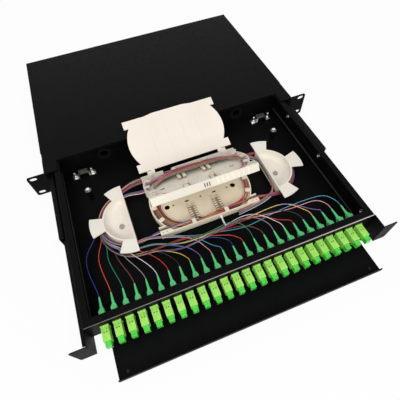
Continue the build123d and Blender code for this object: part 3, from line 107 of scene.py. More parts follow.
def material(name, colour, rough, specular=0.5, metal=0.0, tint=0.1, cloud=60, grain=0, relief=0.1,
             edge=0, edge_highlight_colour=None, soft=0, clear=0, ramp=None):
    """Procedural surface: mottled colour and gloss, with grain relief and, where asked, edges painted paler
    as a highlight.

    A ramp is (direction, low, high, colour): that colour up to low along the direction, none from high on."""
    made = bpy.data.materials.new(name)
    made.use_nodes = True
    nodes, links = made.node_tree.nodes, made.node_tree.links
    shader = nodes["Principled BSDF"]
    shader.inputs["Metallic"].default_value = metal
    shader.inputs["Specular IOR Level"].default_value = specular
    shader.inputs["Transmission Weight"].default_value = clear
    shader.inputs["Subsurface Weight"].default_value = soft
    shader.inputs["Subsurface Radius"].default_value = (0.5, 0.5, 0.4)
    shader.inputs["Subsurface Scale"].default_value = 0.003
    place = nodes.new("ShaderNodeTexCoord")

    def noise(scale, detail):
        node = nodes.new("ShaderNodeTexNoise")
        node.inputs["Scale"].default_value = scale
        node.inputs["Detail"].default_value = detail
        links.new(place.outputs["Object"], node.inputs["Vector"])
        return node.outputs["Fac"]

    def spread_over(source, low, high, start=NOISE_LOW, stop=NOISE_HIGH):
        node = nodes.new("ShaderNodeMapRange")
        for key, value in (("From Min", start), ("From Max", stop), ("To Min", low), ("To Max", high)):
            node.inputs[key].default_value = value
        links.new(source, node.inputs["Value"])
        return node.outputs["Result"]

    mottle = nodes.new("ShaderNodeMix")
    mottle.data_type = "RGBA"
    mottle.inputs["A"].default_value = shade(colour, 1 - tint)
    mottle.inputs["B"].default_value = shade(colour, 1 + tint)
    links.new(spread_over(noise(cloud, 5), 0, 1), mottle.inputs["Factor"])
    paint = mottle.outputs["Result"]
    gloss = spread_over(noise(cloud * 2.3, 3), rough - GLOSS_SPREAD / 2, rough + GLOSS_SPREAD / 2)
    links.new(gloss, shader.inputs["Roughness"])
    # Edges: shading normals rounded by the bevel, and a paler colour there as a painted highlight
    if edge:
        bevel = nodes.new("ShaderNodeBevel")
        bevel.samples = 4
        bevel.inputs["Radius"].default_value = edge * MM
        flat = nodes.new("ShaderNodeNewGeometry")
        turned = nodes.new("ShaderNodeVectorMath")
        turned.operation = "DOT_PRODUCT"
        links.new(bevel.outputs["Normal"], turned.inputs[0])
        links.new(flat.outputs["Normal"], turned.inputs[1])
        rim = nodes.new("ShaderNodeMix")
        rim.data_type = "RGBA"
        rim.inputs["B"].default_value = (*edge_highlight_colour, 1) if edge_highlight_colour else shade(colour, 2.2)
        at_edge = spread_over(turned.outputs["Value"], 1, 0, EDGE_FULL, EDGE_NONE)
        links.new(at_edge, rim.inputs["Factor"])
        links.new(paint, rim.inputs["A"])
        paint = rim.outputs["Result"]
    if ramp:
        direction, low, high, ramp_colour = ramp
        along = nodes.new("ShaderNodeVectorMath")
        along.operation = "DOT_PRODUCT"
        along.inputs[1].default_value = direction
        links.new(place.outputs["Object"], along.inputs[0])
        band = nodes.new("ShaderNodeMix")
        band.data_type = "RGBA"
        band.inputs["A"].default_value = (*ramp_colour, 1)
        beyond = spread_over(along.outputs["Value"], 0, 1, low * MM, high * MM)
        links.new(beyond, band.inputs["Factor"])
        links.new(paint, band.inputs["B"])
        paint = band.outputs["Result"]
    links.new(paint, shader.inputs["Base Color"])
    if grain:
        bump = nodes.new("ShaderNodeBump")
        bump.inputs["Strength"].default_value = relief
        bump.inputs["Distance"].default_value = GRAIN_DEPTH
        links.new(noise(grain, 3), bump.inputs["Height"])
        if edge:
            links.new(bevel.outputs["Normal"], bump.inputs["Normal"])
        links.new(bump.outputs["Normal"], shader.inputs["Normal"])
    elif edge:
        links.new(bevel.outputs["Normal"], shader.inputs["Normal"])
    return made


# The raised tray's own up direction, and how far along it the tray's base lies from the origin
TRAY_TILT = math.radians(33)
TRAY_UP = Vector((0, math.sin(TRAY_TILT), math.cos(TRAY_TILT)))
UPPER_BASE = -34.74

# The lit bend along the top front of the adapter panel, a painted highlight: a direction square to it,
# pointing inwards, and the places along it where the pale painted highlight stops and the black starts
BEND_INWARDS = (-0.0011, 0.7071, -0.7071)
BEND_PALE = -189.5
BEND_BLACK = -188.7

powder = material("black_powder_coat", srgb(12, 12, 13), 0.48, specular=0.034, grain=2600, relief=0.35,
                  edge=0.5, edge_highlight_colour=srgb(30, 30, 32))
# Black panel coat with a pale painted highlight along its top bend
panel_powder_painted_highlight = material("black_powder_coat_panel_painted_highlight", srgb(12, 12, 13), 0.46, specular=0.034, grain=2600,
                        relief=0.3, ramp=(BEND_INWARDS, BEND_PALE, BEND_BLACK, srgb(228, 208, 210)))
# Paler black for the drawer's inner bends: a painted highlight
fold_painted_highlight = material("black_powder_coat_fold_painted_highlight", srgb(54, 52, 54), 0.42, specular=0.05, grain=2600,
                       relief=0.3)
slide_black = material("black_zinc_rail", srgb(11, 11, 12), 0.4, specular=0.06, grain=1800, relief=0.1,
                       edge=0.4, edge_highlight_colour=srgb(36, 37, 40))
screw_black = material("black_zinc_screw", srgb(18, 18, 20), 0.4, specular=0.15, grain=3000, relief=0.1)
nickel = material("nickel_plate", srgb(232, 230, 226), 0.3, metal=1.0, tint=0.06, cloud=300, grain=2200,
                  relief=0.06)
zinc = material("zinc_screw_head", srgb(168, 164, 156), 0.36, metal=1.0, tint=0.12, cloud=500, grain=2200,
                relief=0.1)
post_black = material("black_nickel_post", srgb(104, 102, 104), 0.26, metal=1.0, tint=0.12, cloud=400,
                      grain=2500, relief=0.08)
rubber = material("grommet_rubber", srgb(17, 17, 17), 0.7, specular=0.1, grain=1800, relief=0.2)
# The lower tray's plastic, paler than the same plastic of the raised tray: painted light against the shade of
# the raised tray above it
lower_ivory_painted_light = material("ivory_abs", srgb(248, 235, 209), 0.42, tint=0.05, cloud=30, grain=900, relief=0.05,
                 edge=0.4, edge_highlight_colour=srgb(250, 244, 232), specular=0.3)
raised_ivory = material("raised_tray_ivory_abs", srgb(234, 226, 211), 0.36, tint=0.04, cloud=40, grain=900,
                        relief=0.05, edge=0.35, edge_highlight_colour=srgb(252, 248, 240), specular=0.35)
lid_ivory = material("lid_ivory_abs", srgb(247, 238, 225), 0.46, tint=0.015, cloud=24, grain=900,
                     relief=0.05, edge=0.3, edge_highlight_colour=srgb(252, 247, 238), specular=0.3)

# Combs that hold the splices: painted shade in the grooves, up to GROOVE_TOP above a tray's base
GROOVE_PAINTED_SHADE = srgb(176, 152, 122)
GROOVE_FOOT = 2.9
GROOVE_TOP = 5.4
LOWER_BASE = -18.8


def comb_material(name, direction, base):
    """Pale plastic of the combs in one tray, whose base lies this far along its up direction, with painted
    shade in the grooves.
    """
    return material(name, srgb(246, 237, 220), 0.4, specular=0.3, tint=0.04, grain=900, relief=0.05,
                    ramp=(direction, base + GROOVE_FOOT, base + GROOVE_TOP, GROOVE_PAINTED_SHADE))


comb_lower = comb_material("holder_ivory_abs", (0, 0, 1), LOWER_BASE)
comb_upper = comb_material("raised_holder_ivory_abs", TRAY_UP, UPPER_BASE)

spool_white = material("spool_white_abs", srgb(240, 233, 221), 0.45, tint=0.03, cloud=30, grain=900,
                       relief=0.05, edge=0.4, edge_highlight_colour=srgb(250, 246, 238), specular=0.3)
adapter_lime = material("adapter_lime_abs", srgb(164, 234, 98), 0.34, tint=0.07, cloud=150, grain=1500,
                        relief=0.05, edge=0.4, edge_highlight_colour=srgb(206, 246, 160), soft=0.2)
adapter_mark_olive = material("adapter_mark_olive_abs", srgb(104, 130, 46), 0.4, tint=0.12, cloud=300, grain=1500,
                      relief=0.05)
cap_lime = material("cap_translucent_green", srgb(72, 216, 62), 0.25, tint=0.1, cloud=160, grain=1500,
                    relief=0.05, edge=0.5, edge_highlight_colour=srgb(168, 246, 150), soft=0.25, clear=0.1)
plug_lime = material("plug_green_abs", srgb(92, 214, 130), 0.36, tint=0.06, grain=1500, relief=0.05,
                     edge=0.4, edge_highlight_colour=srgb(150, 230, 170))
boot_emerald = material("boot_emerald_rubber", srgb(96, 222, 138), 0.45, tint=0.08, cloud=160, grain=1200,
                        relief=0.1, edge=0.4, edge_highlight_colour=srgb(150, 232, 176), specular=0.35)
gap_shade = material("clip_gap_shade", srgb(92, 66, 54), 0.6, tint=0.2, cloud=300, grain=1500, relief=0.1,
                     specular=0.2)
tie_white = material("cable_tie_nylon", srgb(240, 238, 230), 0.35, tint=0.04, cloud=200, grain=1500,
                     relief=0.05, soft=0.3)

# In the order of the ports, left to right, twice over
FIBRE_COLOURS = {
    "blue": srgb(28, 66, 152),
    "orange": srgb(220, 74, 46),
    "green": srgb(30, 136, 100),
    "brown": srgb(122, 66, 56),
    "grey": srgb(150, 146, 146),
    "white": srgb(232, 222, 224),
    "red": srgb(206, 44, 48),
    "black": srgb(40, 38, 42),
    "yellow": srgb(244, 200, 84),
    "violet": srgb(124, 106, 168),
    "pink": srgb(232, 160, 172),
    "aqua": srgb(78, 158, 182),
}
jackets = {
    name: material(f"jacket_{name}", colour, 0.34, tint=0.08, cloud=220, grain=1600, relief=0.05,
                   specular=0.45)
    for name, colour in FIBRE_COLOURS.items()
}

FINISHES = {
    powder: ("housing_base", "top_cover", "rack_ear_left", "rack_ear_right", "drawer_pan", "drawer_side_left",
             "drawer_side_right", "front_tray"),
    panel_powder_painted_highlight: ("adapter_panel",),
    slide_black: ("slide_fixed_left", "slide_fixed_right", "slide_middle_left", "slide_middle_right",
                  "slide_inner_left", "slide_inner_right"),
    screw_black: ("ear_screws", "cover_screws", "panel_screws", "tray_rivets"),
    zinc: ("spool_screws",),
    nickel: ("slide_screws", "post_screws", "cable_clamps", "clamp_studs", "clamp_nuts",
             "tray_hinge_pins", "lid_hinge_pins"),
    post_black: ("cable_posts", "post_washers"),
    rubber: ("entry_grommets",),
    lower_ivory_painted_light: ("splice_tray_lower",),
    raised_ivory: ("splice_tray_upper",),
    comb_lower: ("splice_holders_lower",),
    comb_upper: ("splice_holders_upper",),
    lid_ivory: ("tray_lid",),
    spool_white: ("spool_left", "spool_right"),
    adapter_lime: ("adapters",),
    cap_lime: ("dust_caps",),
    plug_lime: ("connector_plugs",),
    boot_emerald: ("connector_boots",),
}
for finish, names in FINISHES.items():
    for name in names:
        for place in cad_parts[name].material_slots:
            place.material = finish


# Places that the fibres follow, in millimetres

PORTS = 24
PORT_PITCH = 15.5
BOOT_TIP = -210.0
BOOT_HEIGHT = 1.0
BOOT_LEAD = 6
SPOOL_X = 112.5
SPOOL_Y = -107.0
TRAY_BACK = -57.0
TRAY_DEPTH = 96.0
FRONT_OPENING_Y = -143.7
REAR_OPENING_Y = -66.3
HINGE = Vector((0, -53.0, -2.0))
TRAY_FORWARD = Vector((0, -math.cos(TRAY_TILT), math.sin(TRAY_TILT)))
UPPER_ORIGIN = HINGE + TRAY_FORWARD * 4.0 - TRAY_UP * 4.2
FIBRE_RADIUS = 0.52

# A cubic curve draws a circle from control points every 30 degrees at this many radii
CUBIC_PULL = 1.047


def upper(x, y, z):
    """Point of the raised tray's own frame: y runs to the rear, z up out of the tray."""
    return UPPER_ORIGIN + Vector((x, 0, 0)) - TRAY_FORWARD * y + TRAY_UP * z


def lower(x, y, z):
    """Point of the lower tray, counted from the middle of its rear edge on the drawer's floor."""
    return Vector((x, TRAY_BACK + y, LOWER_BASE + z))


def fibre_piece(name, lines, colour, body, *nodes, closed=False, bends=None):
    """Round fibres of one colour along smooth lines, riding on a body and standing for the named nodes.

    With bends they become a mesh that stays where it is and rides on no body."""
    curve = bpy.data.curves.new(name, "CURVE")
    curve.dimensions = "3D"
    curve.bevel_depth = FIBRE_RADIUS * MM
    curve.bevel_resolution = 2
    curve.resolution_u = 7
    curve.use_fill_caps = True
    for line in lines:
        spline = curve.splines.new("NURBS")
        spline.points.add(len(line) - 1)
        for point, at in zip(spline.points, line):
            point.co = (*(Vector(at) * MM), 1)
        spline.use_cyclic_u = closed
        spline.use_endpoint_u = not closed
        spline.order_u = 4
    curve.materials.append(jackets[colour])
    piece = bpy.data.objects.new(name, curve)
    if bends:
        mesh = bpy.data.meshes.new_from_object(piece)
        bpy.data.objects.remove(piece)
        piece = bpy.data.objects.new(name, mesh)
    bpy.context.scene.collection.objects.link(piece)
    if bends:
        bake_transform(piece)
    else:
        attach(piece, body)
    if nodes:
        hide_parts(*nodes)


def packed(count, pitch):
    """Places of round strands packed in rings round a centre."""
    places = [(0.0, 0.0)]
    ring = 1
    while len(places) < count:
        turn_by = random.uniform(0, math.tau)
        for step in range(6 * ring):
            angle = turn_by + math.tau * step / (6 * ring)
            places.append((ring * pitch * math.cos(angle), ring * pitch * math.sin(angle)))
        ring += 1
    return places[:count]


def part_way(value, start, stop):
    """How far a value has come from start to stop, from 0 to 1."""
    return min(1, max(0, (value - start) / (stop - start)))


def round_spool(radius, angle, z):
    """Control point of a turn round the left spool."""
    turned = math.radians(angle)
    reach = radius * CUBIC_PULL
    return Vector((-SPOOL_X + reach * math.cos(turned), SPOOL_Y + reach * math.sin(turned), z))


# Pigtails: from the boots along the front of the trays, round the left spool and up to the raised tray

# Places (x, y) that each strand passes in front of the trays, from the eighth port to the last
ROUTES = (
    ((-72, -196), (-77, -188), (-84, -181), (-98, -174)),
    ((-55, -198), (-60, -190), (-68, -184), (-83, -178), (-99, -171)),
    ((-41, -197), (-48, -187), (-58, -180), (-74, -173), (-93, -165)),
    ((-25, -198), (-30, -186), (-38, -176), (-48, -168), (-61, -163), (-76, -160), (-97, -154)),
    ((-10, -200), (-18, -193), (-26, -184), (-33, -176), (-42, -168), (-57, -162), (-75, -157), (-97, -153)),
    ((9, -200), (4, -192), (-6, -186), (-21, -180), (-45, -177), (-62, -174), (-79, -169), (-96, -164)),
    ((22, -199), (16, -192), (5, -186), (-14, -179), (-32, -172), (-49, -169), (-69, -171), (-84, -172),
     (-98, -174)),
    ((40, -198), (37, -185), (28, -175), (16, -171), (0, -174), (-30, -176), (-48, -177), (-63, -174),
     (-79, -169), (-96, -164)),
    ((53, -199), (45, -190), (30, -183), (10, -180), (-14, -180), (-33, -173), (-49, -169), (-69, -170),
     (-84, -172), (-98, -174)),
    ((71, -199), (66, -188), (56, -178), (36, -172), (10, -175), (-26, -181), (-49, -183), (-64, -182),
     (-78, -179), (-94, -175)),
    ((82, -198), (71, -183), (57, -172), (41, -169), (17, -172), (-4, -178), (-32, -178), (-49, -177),
     (-63, -174), (-79, -169), (-96, -164)),
    ((96, -201), (85, -195), (72, -184), (60, -178), (42, -176), (15, -177), (-14, -180), (-34, -173),
     (-50, -169), (-69, -170), (-84, -172), (-98, -174)),
    ((112, -195), (101, -186), (83, -180), (58, -178), (31, -175), (6, -176), (-26, -181), (-49, -183),
     (-64, -183), (-78, -180), (-94, -175)),
    ((130, -200), (121, -188), (112, -179), (101, -174), (87, -173), (68, -175), (42, -176), (17, -174),
     (-8, -177), (-32, -178), (-49, -177), (-63, -174), (-79, -169), (-96, -164)),
    ((144, -204), (134, -198), (126, -189), (112, -178), (94, -173), (70, -173), (45, -174), (14, -176),
     (-26, -182), (-49, -184), (-64, -183), (-78, -180), (-94, -175)),
    ((160, -197), (152, -189), (139, -187), (123, -188), (102, -186), (78, -182), (52, -177), (22, -172),
     (-8, -178), (-28, -181), (-49, -183), (-64, -182), (-79, -179), (-94, -175)),
    ((174, -193), (165, -185), (144, -183), (119, -182), (96, -182), (74, -184), (50, -187), (28, -186),
     (2, -180), (-22, -174), (-45, -166), (-64, -160), (-81, -155), (-98, -152)),
)

ROUTE_WOBBLE_Y = 0.6
ROUTE_WOBBLE_Z = 0.5

# The strands sink from the boots to their layers between these places in x, and left of VEER_X they
# veer to the rear
SINK_FROM_X = 150
SINK_TO_X = -90
VEER_X = -60
VEER = 0.13

# The angles where the strands of the first seven ports meet the spool, and how far each swings aside first
JOIN = (192, 205, 217, 228, 238, 248, 258)
SWING = (-16, -10, -9, -8, -10, -9, -4)

# Two points on their way there: shares of the way in x, y and z, and of the swing
APPROACH = ((0.1, 0.34, 0.3, 0.6), (0.45, 0.72, 0.8, 1.0))

# Angles of a turn's control points, and how far the first of them lies past the join at least
TURN_ANGLES = (262, 240, 214, 190, 162, 134, 108)
LEAST_TURN = 8

# Each strand's own turn round the spool: five layers, one above the other, then a larger radius
TURN_RADIUS = 44.6
TURN_RADIUS_STEP = 1.2
LAYERS = 5
LAYER_HEIGHT = -11.4
LAYER_STEP = 1.2

# It starts wider than that, by LOOSE_SHARE of the distance left, and loses this between two angles
LOOSE_SHARE = 0.9
LOOSE_FROM_ANGLE = 260
LOOSE_TO_ANGLE = 180

# Round the spool's left side the turns close up to one bundle
CLOSING_FROM_ANGLE = 215
CLOSING_TO_ANGLE = 155
BUNDLE_RADIUS = 44.8
BUNDLE_HEIGHT = -9
BUNDLE_SPREAD = (0.6, 1.3)

# Middle of the bundle (x, y, z) up to the hinge and across it, and how many times its packed width
# it has there; in height it never has more than MOST_HEIGHT times
HINGE_LEAD = (
    (-98, -47.5, -9, 1.9), (-84, -47.0, -8.6, 2.3), (-72, -46.5, -8.6, 1.9), (-60, -47.5, -7, 1.3),
)
HINGE_CROSSING = (
    (-60, -47.5, -7, 1.3), (-56.5, -47.9, -6.5, 1.2), (-51, -52.6, -2.6, 0.9), (-46, -53, -2, 0.7),
    (-44, -53, -2, 0.62),
)
MOST_HEIGHT = 1.3
FIBRE_PITCH = 1.08
bundle = packed(PORTS, FIBRE_PITCH)
random.shuffle(bundle)


def hinge_point(index, at):
    """Place of one strand of the bundle that is led to the hinge, at a point of its middle line."""
    x, y, z, fan = at
    u, v = bundle[index]
    return Vector((x, y + u * fan, z + v * min(fan, MOST_HEIGHT)))


def pigtail(index):
    """Control points of the strand of one port, counted from the left, up to the hinge."""
    rank = PORTS - 1 - index
    radius = TURN_RADIUS + (rank // LAYERS) * TURN_RADIUS_STEP
    height = LAYER_HEIGHT + (rank % LAYERS) * LAYER_STEP
    spread = 0
    x = (index - (PORTS - 1) / 2) * PORT_PITCH
    line = [Vector((x, BOOT_TIP, BOOT_HEIGHT)), Vector((x, BOOT_TIP + BOOT_LEAD, BOOT_HEIGHT - 0.1))]
    angles = TURN_ANGLES
    if index < len(JOIN):
        join = round_spool(radius, JOIN[index], height)
        start = line[1]
        gap = join - start
        side = Vector((SWING[index], 0, 0))
        for share_x, share_y, share_z, swing in APPROACH:
            line.append(start + Vector((gap.x * share_x, gap.y * share_y, gap.z * share_z)) + side * swing)
        line.append(join)
        angles = [angle for angle in TURN_ANGLES if angle < JOIN[index] - LEAST_TURN]
    else:
        for at, y in ROUTES[index - len(JOIN)]:
            sink = (height - BOOT_HEIGHT) * part_way(at, SINK_FROM_X, SINK_TO_X)
            y += max(0, VEER_X - at) * VEER
            y_here = y + random.uniform(-ROUTE_WOBBLE_Y, ROUTE_WOBBLE_Y)
            z_here = BOOT_HEIGHT + sink + random.uniform(-ROUTE_WOBBLE_Z, ROUTE_WOBBLE_Z)
            line.append(Vector((at, y_here, z_here)))
        spread = (SPOOL_Y - y - radius) * LOOSE_SHARE
    u, v = bundle[index]
    bundle_radius = BUNDLE_RADIUS + u * BUNDLE_SPREAD[0]
    bundle_height = BUNDLE_HEIGHT + v * BUNDLE_SPREAD[1]
    for angle in angles:
        mix = part_way(angle, CLOSING_FROM_ANGLE, CLOSING_TO_ANGLE)
        loose = spread * part_way(angle, LOOSE_TO_ANGLE, LOOSE_FROM_ANGLE)
        line.append(round_spool(radius + loose + (bundle_radius - radius) * mix, angle,
                                height + (bundle_height - height) * mix))
    return line + [hinge_point(index, at) for at in HINGE_LEAD]


for number, colour in enumerate(FIBRE_COLOURS):
    lines = [pigtail(number), pigtail(number + len(FIBRE_COLOURS))]
    stands_for = [f"pigtail_{colour}"] + (["fibre_bundle_rear"] if colour == "blue" else [])
    fibre_piece(f"pigtail_fibres_{colour}", lines, colour, "drawer", *stands_for)


# The same fibres across the hinge and inside the raised tray

TAIL = ((-41, 4, 4.2), (-36, 2.4, 5), (-30, -3.6, 7), (-22, -8.2, 8.6), (-8, -8.6, 8.6), (12, -8.4, 8.2))

# Last two points: x, how much less and more it may be, y and z
TAIL_ENDS = ((34, -8, 14, -9.0, 5.8), (60, -4, 4, -11.0, 4.2))
TAIL_PACKING = 0.62
TAIL_BENDS = ((-59, HINGE.y, HINGE.z), (-45, HINGE.y, HINGE.z))
for number, colour in enumerate(FIBRE_COLOURS):
    lines = []
    for index in (number, number + len(FIBRE_COLOURS)):
        u, v = (part * TAIL_PACKING for part in bundle[index])
        line = [hinge_point(index, at) for at in HINGE_CROSSING]
        line += [upper(x, y + u * 1.1, z + v * 1.1) for x, y, z in TAIL]
        for x, less, more, y, z in TAIL_ENDS:
            line.append(upper(x + random.uniform(less, more), y + u, z + v * 0.5))
        lines.append(line)
    stands_for = ["fibre_tail_upper"] if colour == "blue" else []
    fibre_piece(f"tail_fibres_{colour}", lines, colour, "upper_tray", *stands_for, bends=TAIL_BENDS)


# Coils of spare fibre in both trays

# Furthest x that a turn reaches
COIL_REACH = 76.6


def coil_line(place, radius, z, wobble, drift, shift=0):
    """Control points of one closed oval turn that drifts in and out between its two ends."""
    points = []
    half_straight = COIL_REACH - radius - shift
    for side in (1, -1):
        for x in (-16, 16):
            points.append((side * -x, side * (radius + drift * (0.5 if side > 0 else -1))))
        for angle in (90, 60, 30, 0, -30, -60, -90):
            turned = math.radians(angle)
            pull = (CUBIC_PULL if abs(angle) < 90 else 1.0) * radius
            points.append((side * (half_straight + pull * math.cos(turned)), side * pull * math.sin(turned)))
    return [
        place(x + shift + random.uniform(-wobble, wobble),
              -TRAY_DEPTH / 2 + y + random.uniform(-wobble, wobble),
              z + random.uniform(-wobble, wobble) * 0.5)
        for x, y in points
    ]


def by_colour(colours, lines):
    """Lines of each colour, in the order in which the colours come first."""
    groups = {}
    for colour, line in zip(colours, lines):
        groups.setdefault(colour, []).append(line)
    return groups


# Turns lie in layers, each turn inside the one before
COIL_RADIUS = 43.4
TURN_PITCH = 1.1
TURNS_PER_LAYER = 6
COIL_HEIGHT = 2.3
COIL_LAYER = 1.05
UPPER_COIL_RISE = 1.6
COIL_DRIFT = 0.6
COIL_WOBBLE = 0.4

# The lower tray's turns from SLACK_FROM on are slack: each lies further right
SLACK_FROM = 12
SLACK_RADIUS = 42.4
SLACK_PITCH = 0.4
SLACK_SHIFT = 0.55
SLACK_LAYERS = 3
COILS = {
    "lower": ("green", "red", "blue", "orange", "brown", "red", "black", "orange", "yellow", "brown", "red",
              "aqua", "green", "blue", "pink", "brown", "green", "yellow", "orange", "black", "red", "pink",
              "brown", "white"),
    "upper": ("red", "blue", "orange", "aqua", "yellow", "brown", "grey", "red", "white", "green", "violet",
              "orange", "blue", "red", "yellow", "grey", "brown", "aqua", "white", "red", "green", "blue",
              "orange", "pink"),
}
for body, place, tray in (("drawer", lower, "lower"), ("upper_tray", upper, "upper")):
    turns = []
    for number in range(len(COILS[tray])):
        radius = COIL_RADIUS - TURN_PITCH * (number % TURNS_PER_LAYER)
        height = COIL_HEIGHT + COIL_LAYER * (number // TURNS_PER_LAYER)
        drift = random.uniform(-COIL_DRIFT, COIL_DRIFT)
        shift = 0
        if tray == "upper":
            height += UPPER_COIL_RISE
        elif number >= SLACK_FROM:
            shift = SLACK_SHIFT * (number - SLACK_FROM + 1)
            radius = SLACK_RADIUS - SLACK_PITCH * (number - SLACK_FROM)
            height = COIL_HEIGHT + COIL_LAYER * (number % SLACK_LAYERS)
        turns.append(coil_line(place, radius, height, COIL_WOBBLE, drift, shift))
    for number, (colour, lines) in enumerate(by_colour(COILS[tray], turns).items()):
        stands_for = [f"fibre_coil_{tray}"] if number == 0 else []
        fibre_piece(f"coil_{tray}_{colour}", lines, colour, body, *stands_for, closed=True)


# Loose strands across the rear of the raised tray and the front of the lower one

ACROSS = ("aqua", "blue", "red", "white", "orange", "brown", "green", "red", "grey", "blue", "yellow", "red",
          "black", "aqua", "orange", "brown", "yellow", "green")
ACROSS_WOBBLE = 0.0007
across = []
for number in range(len(ACROSS)):
    inward = 2 + number * 1.35
    height = 7.2 + random.uniform(0, 1.8)
    line = [upper(-66, -36 - inward * 0.3, 4.4), upper(-58, -20 - inward * 0.45, 5.6),
            upper(-42, -6.5 - inward * 0.75, height), upper(-18, -3.0 - inward, height + 0.6),
            upper(8, -3.0 - inward * 0.95, height + 0.6), upper(34, -4.0 - inward * 0.8, height),
            upper(56, -9 - inward * 0.6, height - 0.8), upper(68, -24 - inward * 0.3, 6.4),
            upper(73.5 - number % 4, -42, 5.4), upper(70 - number % 4, -62, 4.6),
            upper(60, -79 + number % 3, 3.8), upper(44, -86.5 + number % 5, 3.2),
            upper(20, -88.5 + number % 5, 2.6)]
    across.append([
        point + Vector((0, random.uniform(-ACROSS_WOBBLE, ACROSS_WOBBLE), 0)) for point in line
    ])
for colour, lines in by_colour(ACROSS, across).items():
    fibre_piece(f"across_upper_{colour}", lines, colour, "upper_tray")

# Colour, furthest x at the tray's right end, y along its front and x where the strand stops
STRAYS = (
    ("orange", 76.0, -84.5, -10), ("orange", 74.8, -86.2, -2), ("red", 73.5, -88.0, 4),
    ("blue", 75.4, -89.6, 10), ("violet", 74.2, -90.8, 2), ("red", 76.6, -91.6, -14),
)
strays = []
for _, end_x, front, stop in STRAYS:
    line = [lower(58, -6.5, 5.4), lower(70, -20, 5.6), lower(end_x, -38, 5.6), lower(end_x - 1, -56, 5.4),
            lower(66, -74, 5.2), lower(52, (front - 74) / 2 - 3, 5.0), lower(34, front + 1.5, 4.6),
            lower(14, front, 4.2), lower(stop, front - 1.0, 3.4), lower(stop - 14, front - 2.0, 2.4)]
    strays.append(line)
for colour, lines in by_colour([stray[0] for stray in STRAYS], strays).items():
    fibre_piece(f"stray_lower_{colour}", lines, colour, "drawer")


# Fibres that leave the lower tray and turn round a spool

LOOP_HEIGHT = -11
LOOP_RADIUS = 42.8
LOOP_PITCH = 1.15


def spool_loop(side, u, v, start, stop):
    """Control points of one strand out of the tray's corner, round the outside of a spool and back."""
    radius = (LOOP_RADIUS + u) * CUBIC_PULL
    spread = u + random.uniform(-1.2, 1.2)
    points = [
        (start, FRONT_OPENING_Y + u * 0.5), (40, FRONT_OPENING_Y + u * 0.5), (70, FRONT_OPENING_Y + u * 0.6),
        (84, -144.8 + spread * 1.2), (99, -149.5 - spread * 1.3),
    ]
    for angle in (-78, -48, -18, 12, 42, 72):
        turned = math.radians(angle)
        points.append((SPOOL_X + radius * math.cos(turned), SPOOL_Y + radius * math.sin(turned)))
    points += [
        (100, -62.6 + u), (86, -66 + spread * 1.6), (70, REAR_OPENING_Y + u * 0.6),
        (40, REAR_OPENING_Y + u * 0.5), (stop, REAR_OPENING_Y + u * 0.5),
    ]
    return [Vector((side * x, y, LOOP_HEIGHT + v)) for x, y in points]


LOOP_COLOURS = {
    "left": ("white", "green", "red", "red", "aqua", "blue", "black", "blue", "green", "red", "white"),
    "right": ("red", "orange", "red", "red", "brown", "red", "orange", "red", "red", "brown", "blue", "red",
              "green", "red"),
}
for side_name, side in (("left", -1), ("right", 1)):
    colours = LOOP_COLOURS[side_name]
    loops = [
        spool_loop(side, u, v, random.uniform(6, 22), random.uniform(6, 22))
        for u, v in packed(len(colours), LOOP_PITCH)
    ]
    for number, (colour, lines) in enumerate(by_colour(colours, loops).items()):
        stands_for = [f"fibre_loop_{side_name}"] if number == 0 else []
        fibre_piece(f"loop_{side_name}_{colour}", lines, colour, "drawer", *stands_for)


# Strands from the lower tray's rear right corner along the right spool's straight wall

DROP = (
    (20, REAR_OPENING_Y, -11), (46, REAR_OPENING_Y, -11), (70, REAR_OPENING_Y, -11), (86, -65.5, -10.5),
    (101, -66.5, -10), (SPOOL_X - 2.4, -78, -8.5), (SPOOL_X - 1.6, -94, -7.5), (SPOOL_X - 1.6, -112, -8),
    (SPOOL_X - 2, -130, -9.5), (SPOOL_X - 5, -144, -11), (SPOOL_X - 16, -151, -12),
    (SPOOL_X - 42, -155.5, -13.5), (SPOOL_X - 70, -157.5, -14.5),
)
DROP_PITCH = 1.1
DROP_MIDDLE = 2.7
for number, colour in enumerate(("white", "green", "aqua", "red", "pink", "brown")):
    aside = DROP_PITCH * number - DROP_MIDDLE
    line = [Vector((x - abs(aside) * 0.35, y + aside * 0.8, z + aside * 0.8 + random.uniform(-0.6, 0.6)))
            for x, y, z in DROP]
    fibre_piece(f"drop_right_{colour}", [line], colour, "drawer")


# Small fittings that only show close up

def slab(mesh, centre, size, turned=None):
    """Add a box, in millimetres, to a mesh in the making."""
    made = bmesh.ops.create_cube(mesh, size=1.0)
    for vertex in made["verts"]:
        at = Vector((vertex.co.x * size[0], vertex.co.y * size[1], vertex.co.z * size[2]))
        vertex.co = (Vector(centre) + (turned @ at if turned else at)) * MM


def fitting(name, mesh, finish, body, bevel):
    """Turn a mesh in the making into a piece with rounded edges that rides on a body."""
    data = bpy.data.meshes.new(name)
    mesh.to_mesh(data)
    mesh.free()
    data.materials.append(finish)
    piece = bpy.data.objects.new(name, data)
    bpy.context.scene.collection.objects.link(piece)
    rounding = piece.modifiers.new("rounding", "BEVEL")
    rounding.width = bevel * MM
    rounding.segments = 2
    rounding.limit_method = "ANGLE"
    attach(piece, body)


# Two small darker olive marks on each adapter's top, as thin plates
ADAPTER_TOP = 7.45
MARK_Y = -256.5
MARK_X = 1.55
MARK_SIZE = (1.5, 1.7, 0.3)
adapter_marks = bmesh.new()
for port in range(PORTS):
    x = (port - (PORTS - 1) / 2) * PORT_PITCH
    for side in (-1, 1):
        slab(adapter_marks, (x + side * MARK_X, MARK_Y, ADAPTER_TOP), MARK_SIZE)
fitting("adapter_top_marks", adapter_marks, adapter_mark_olive, "drawer", 0.1)

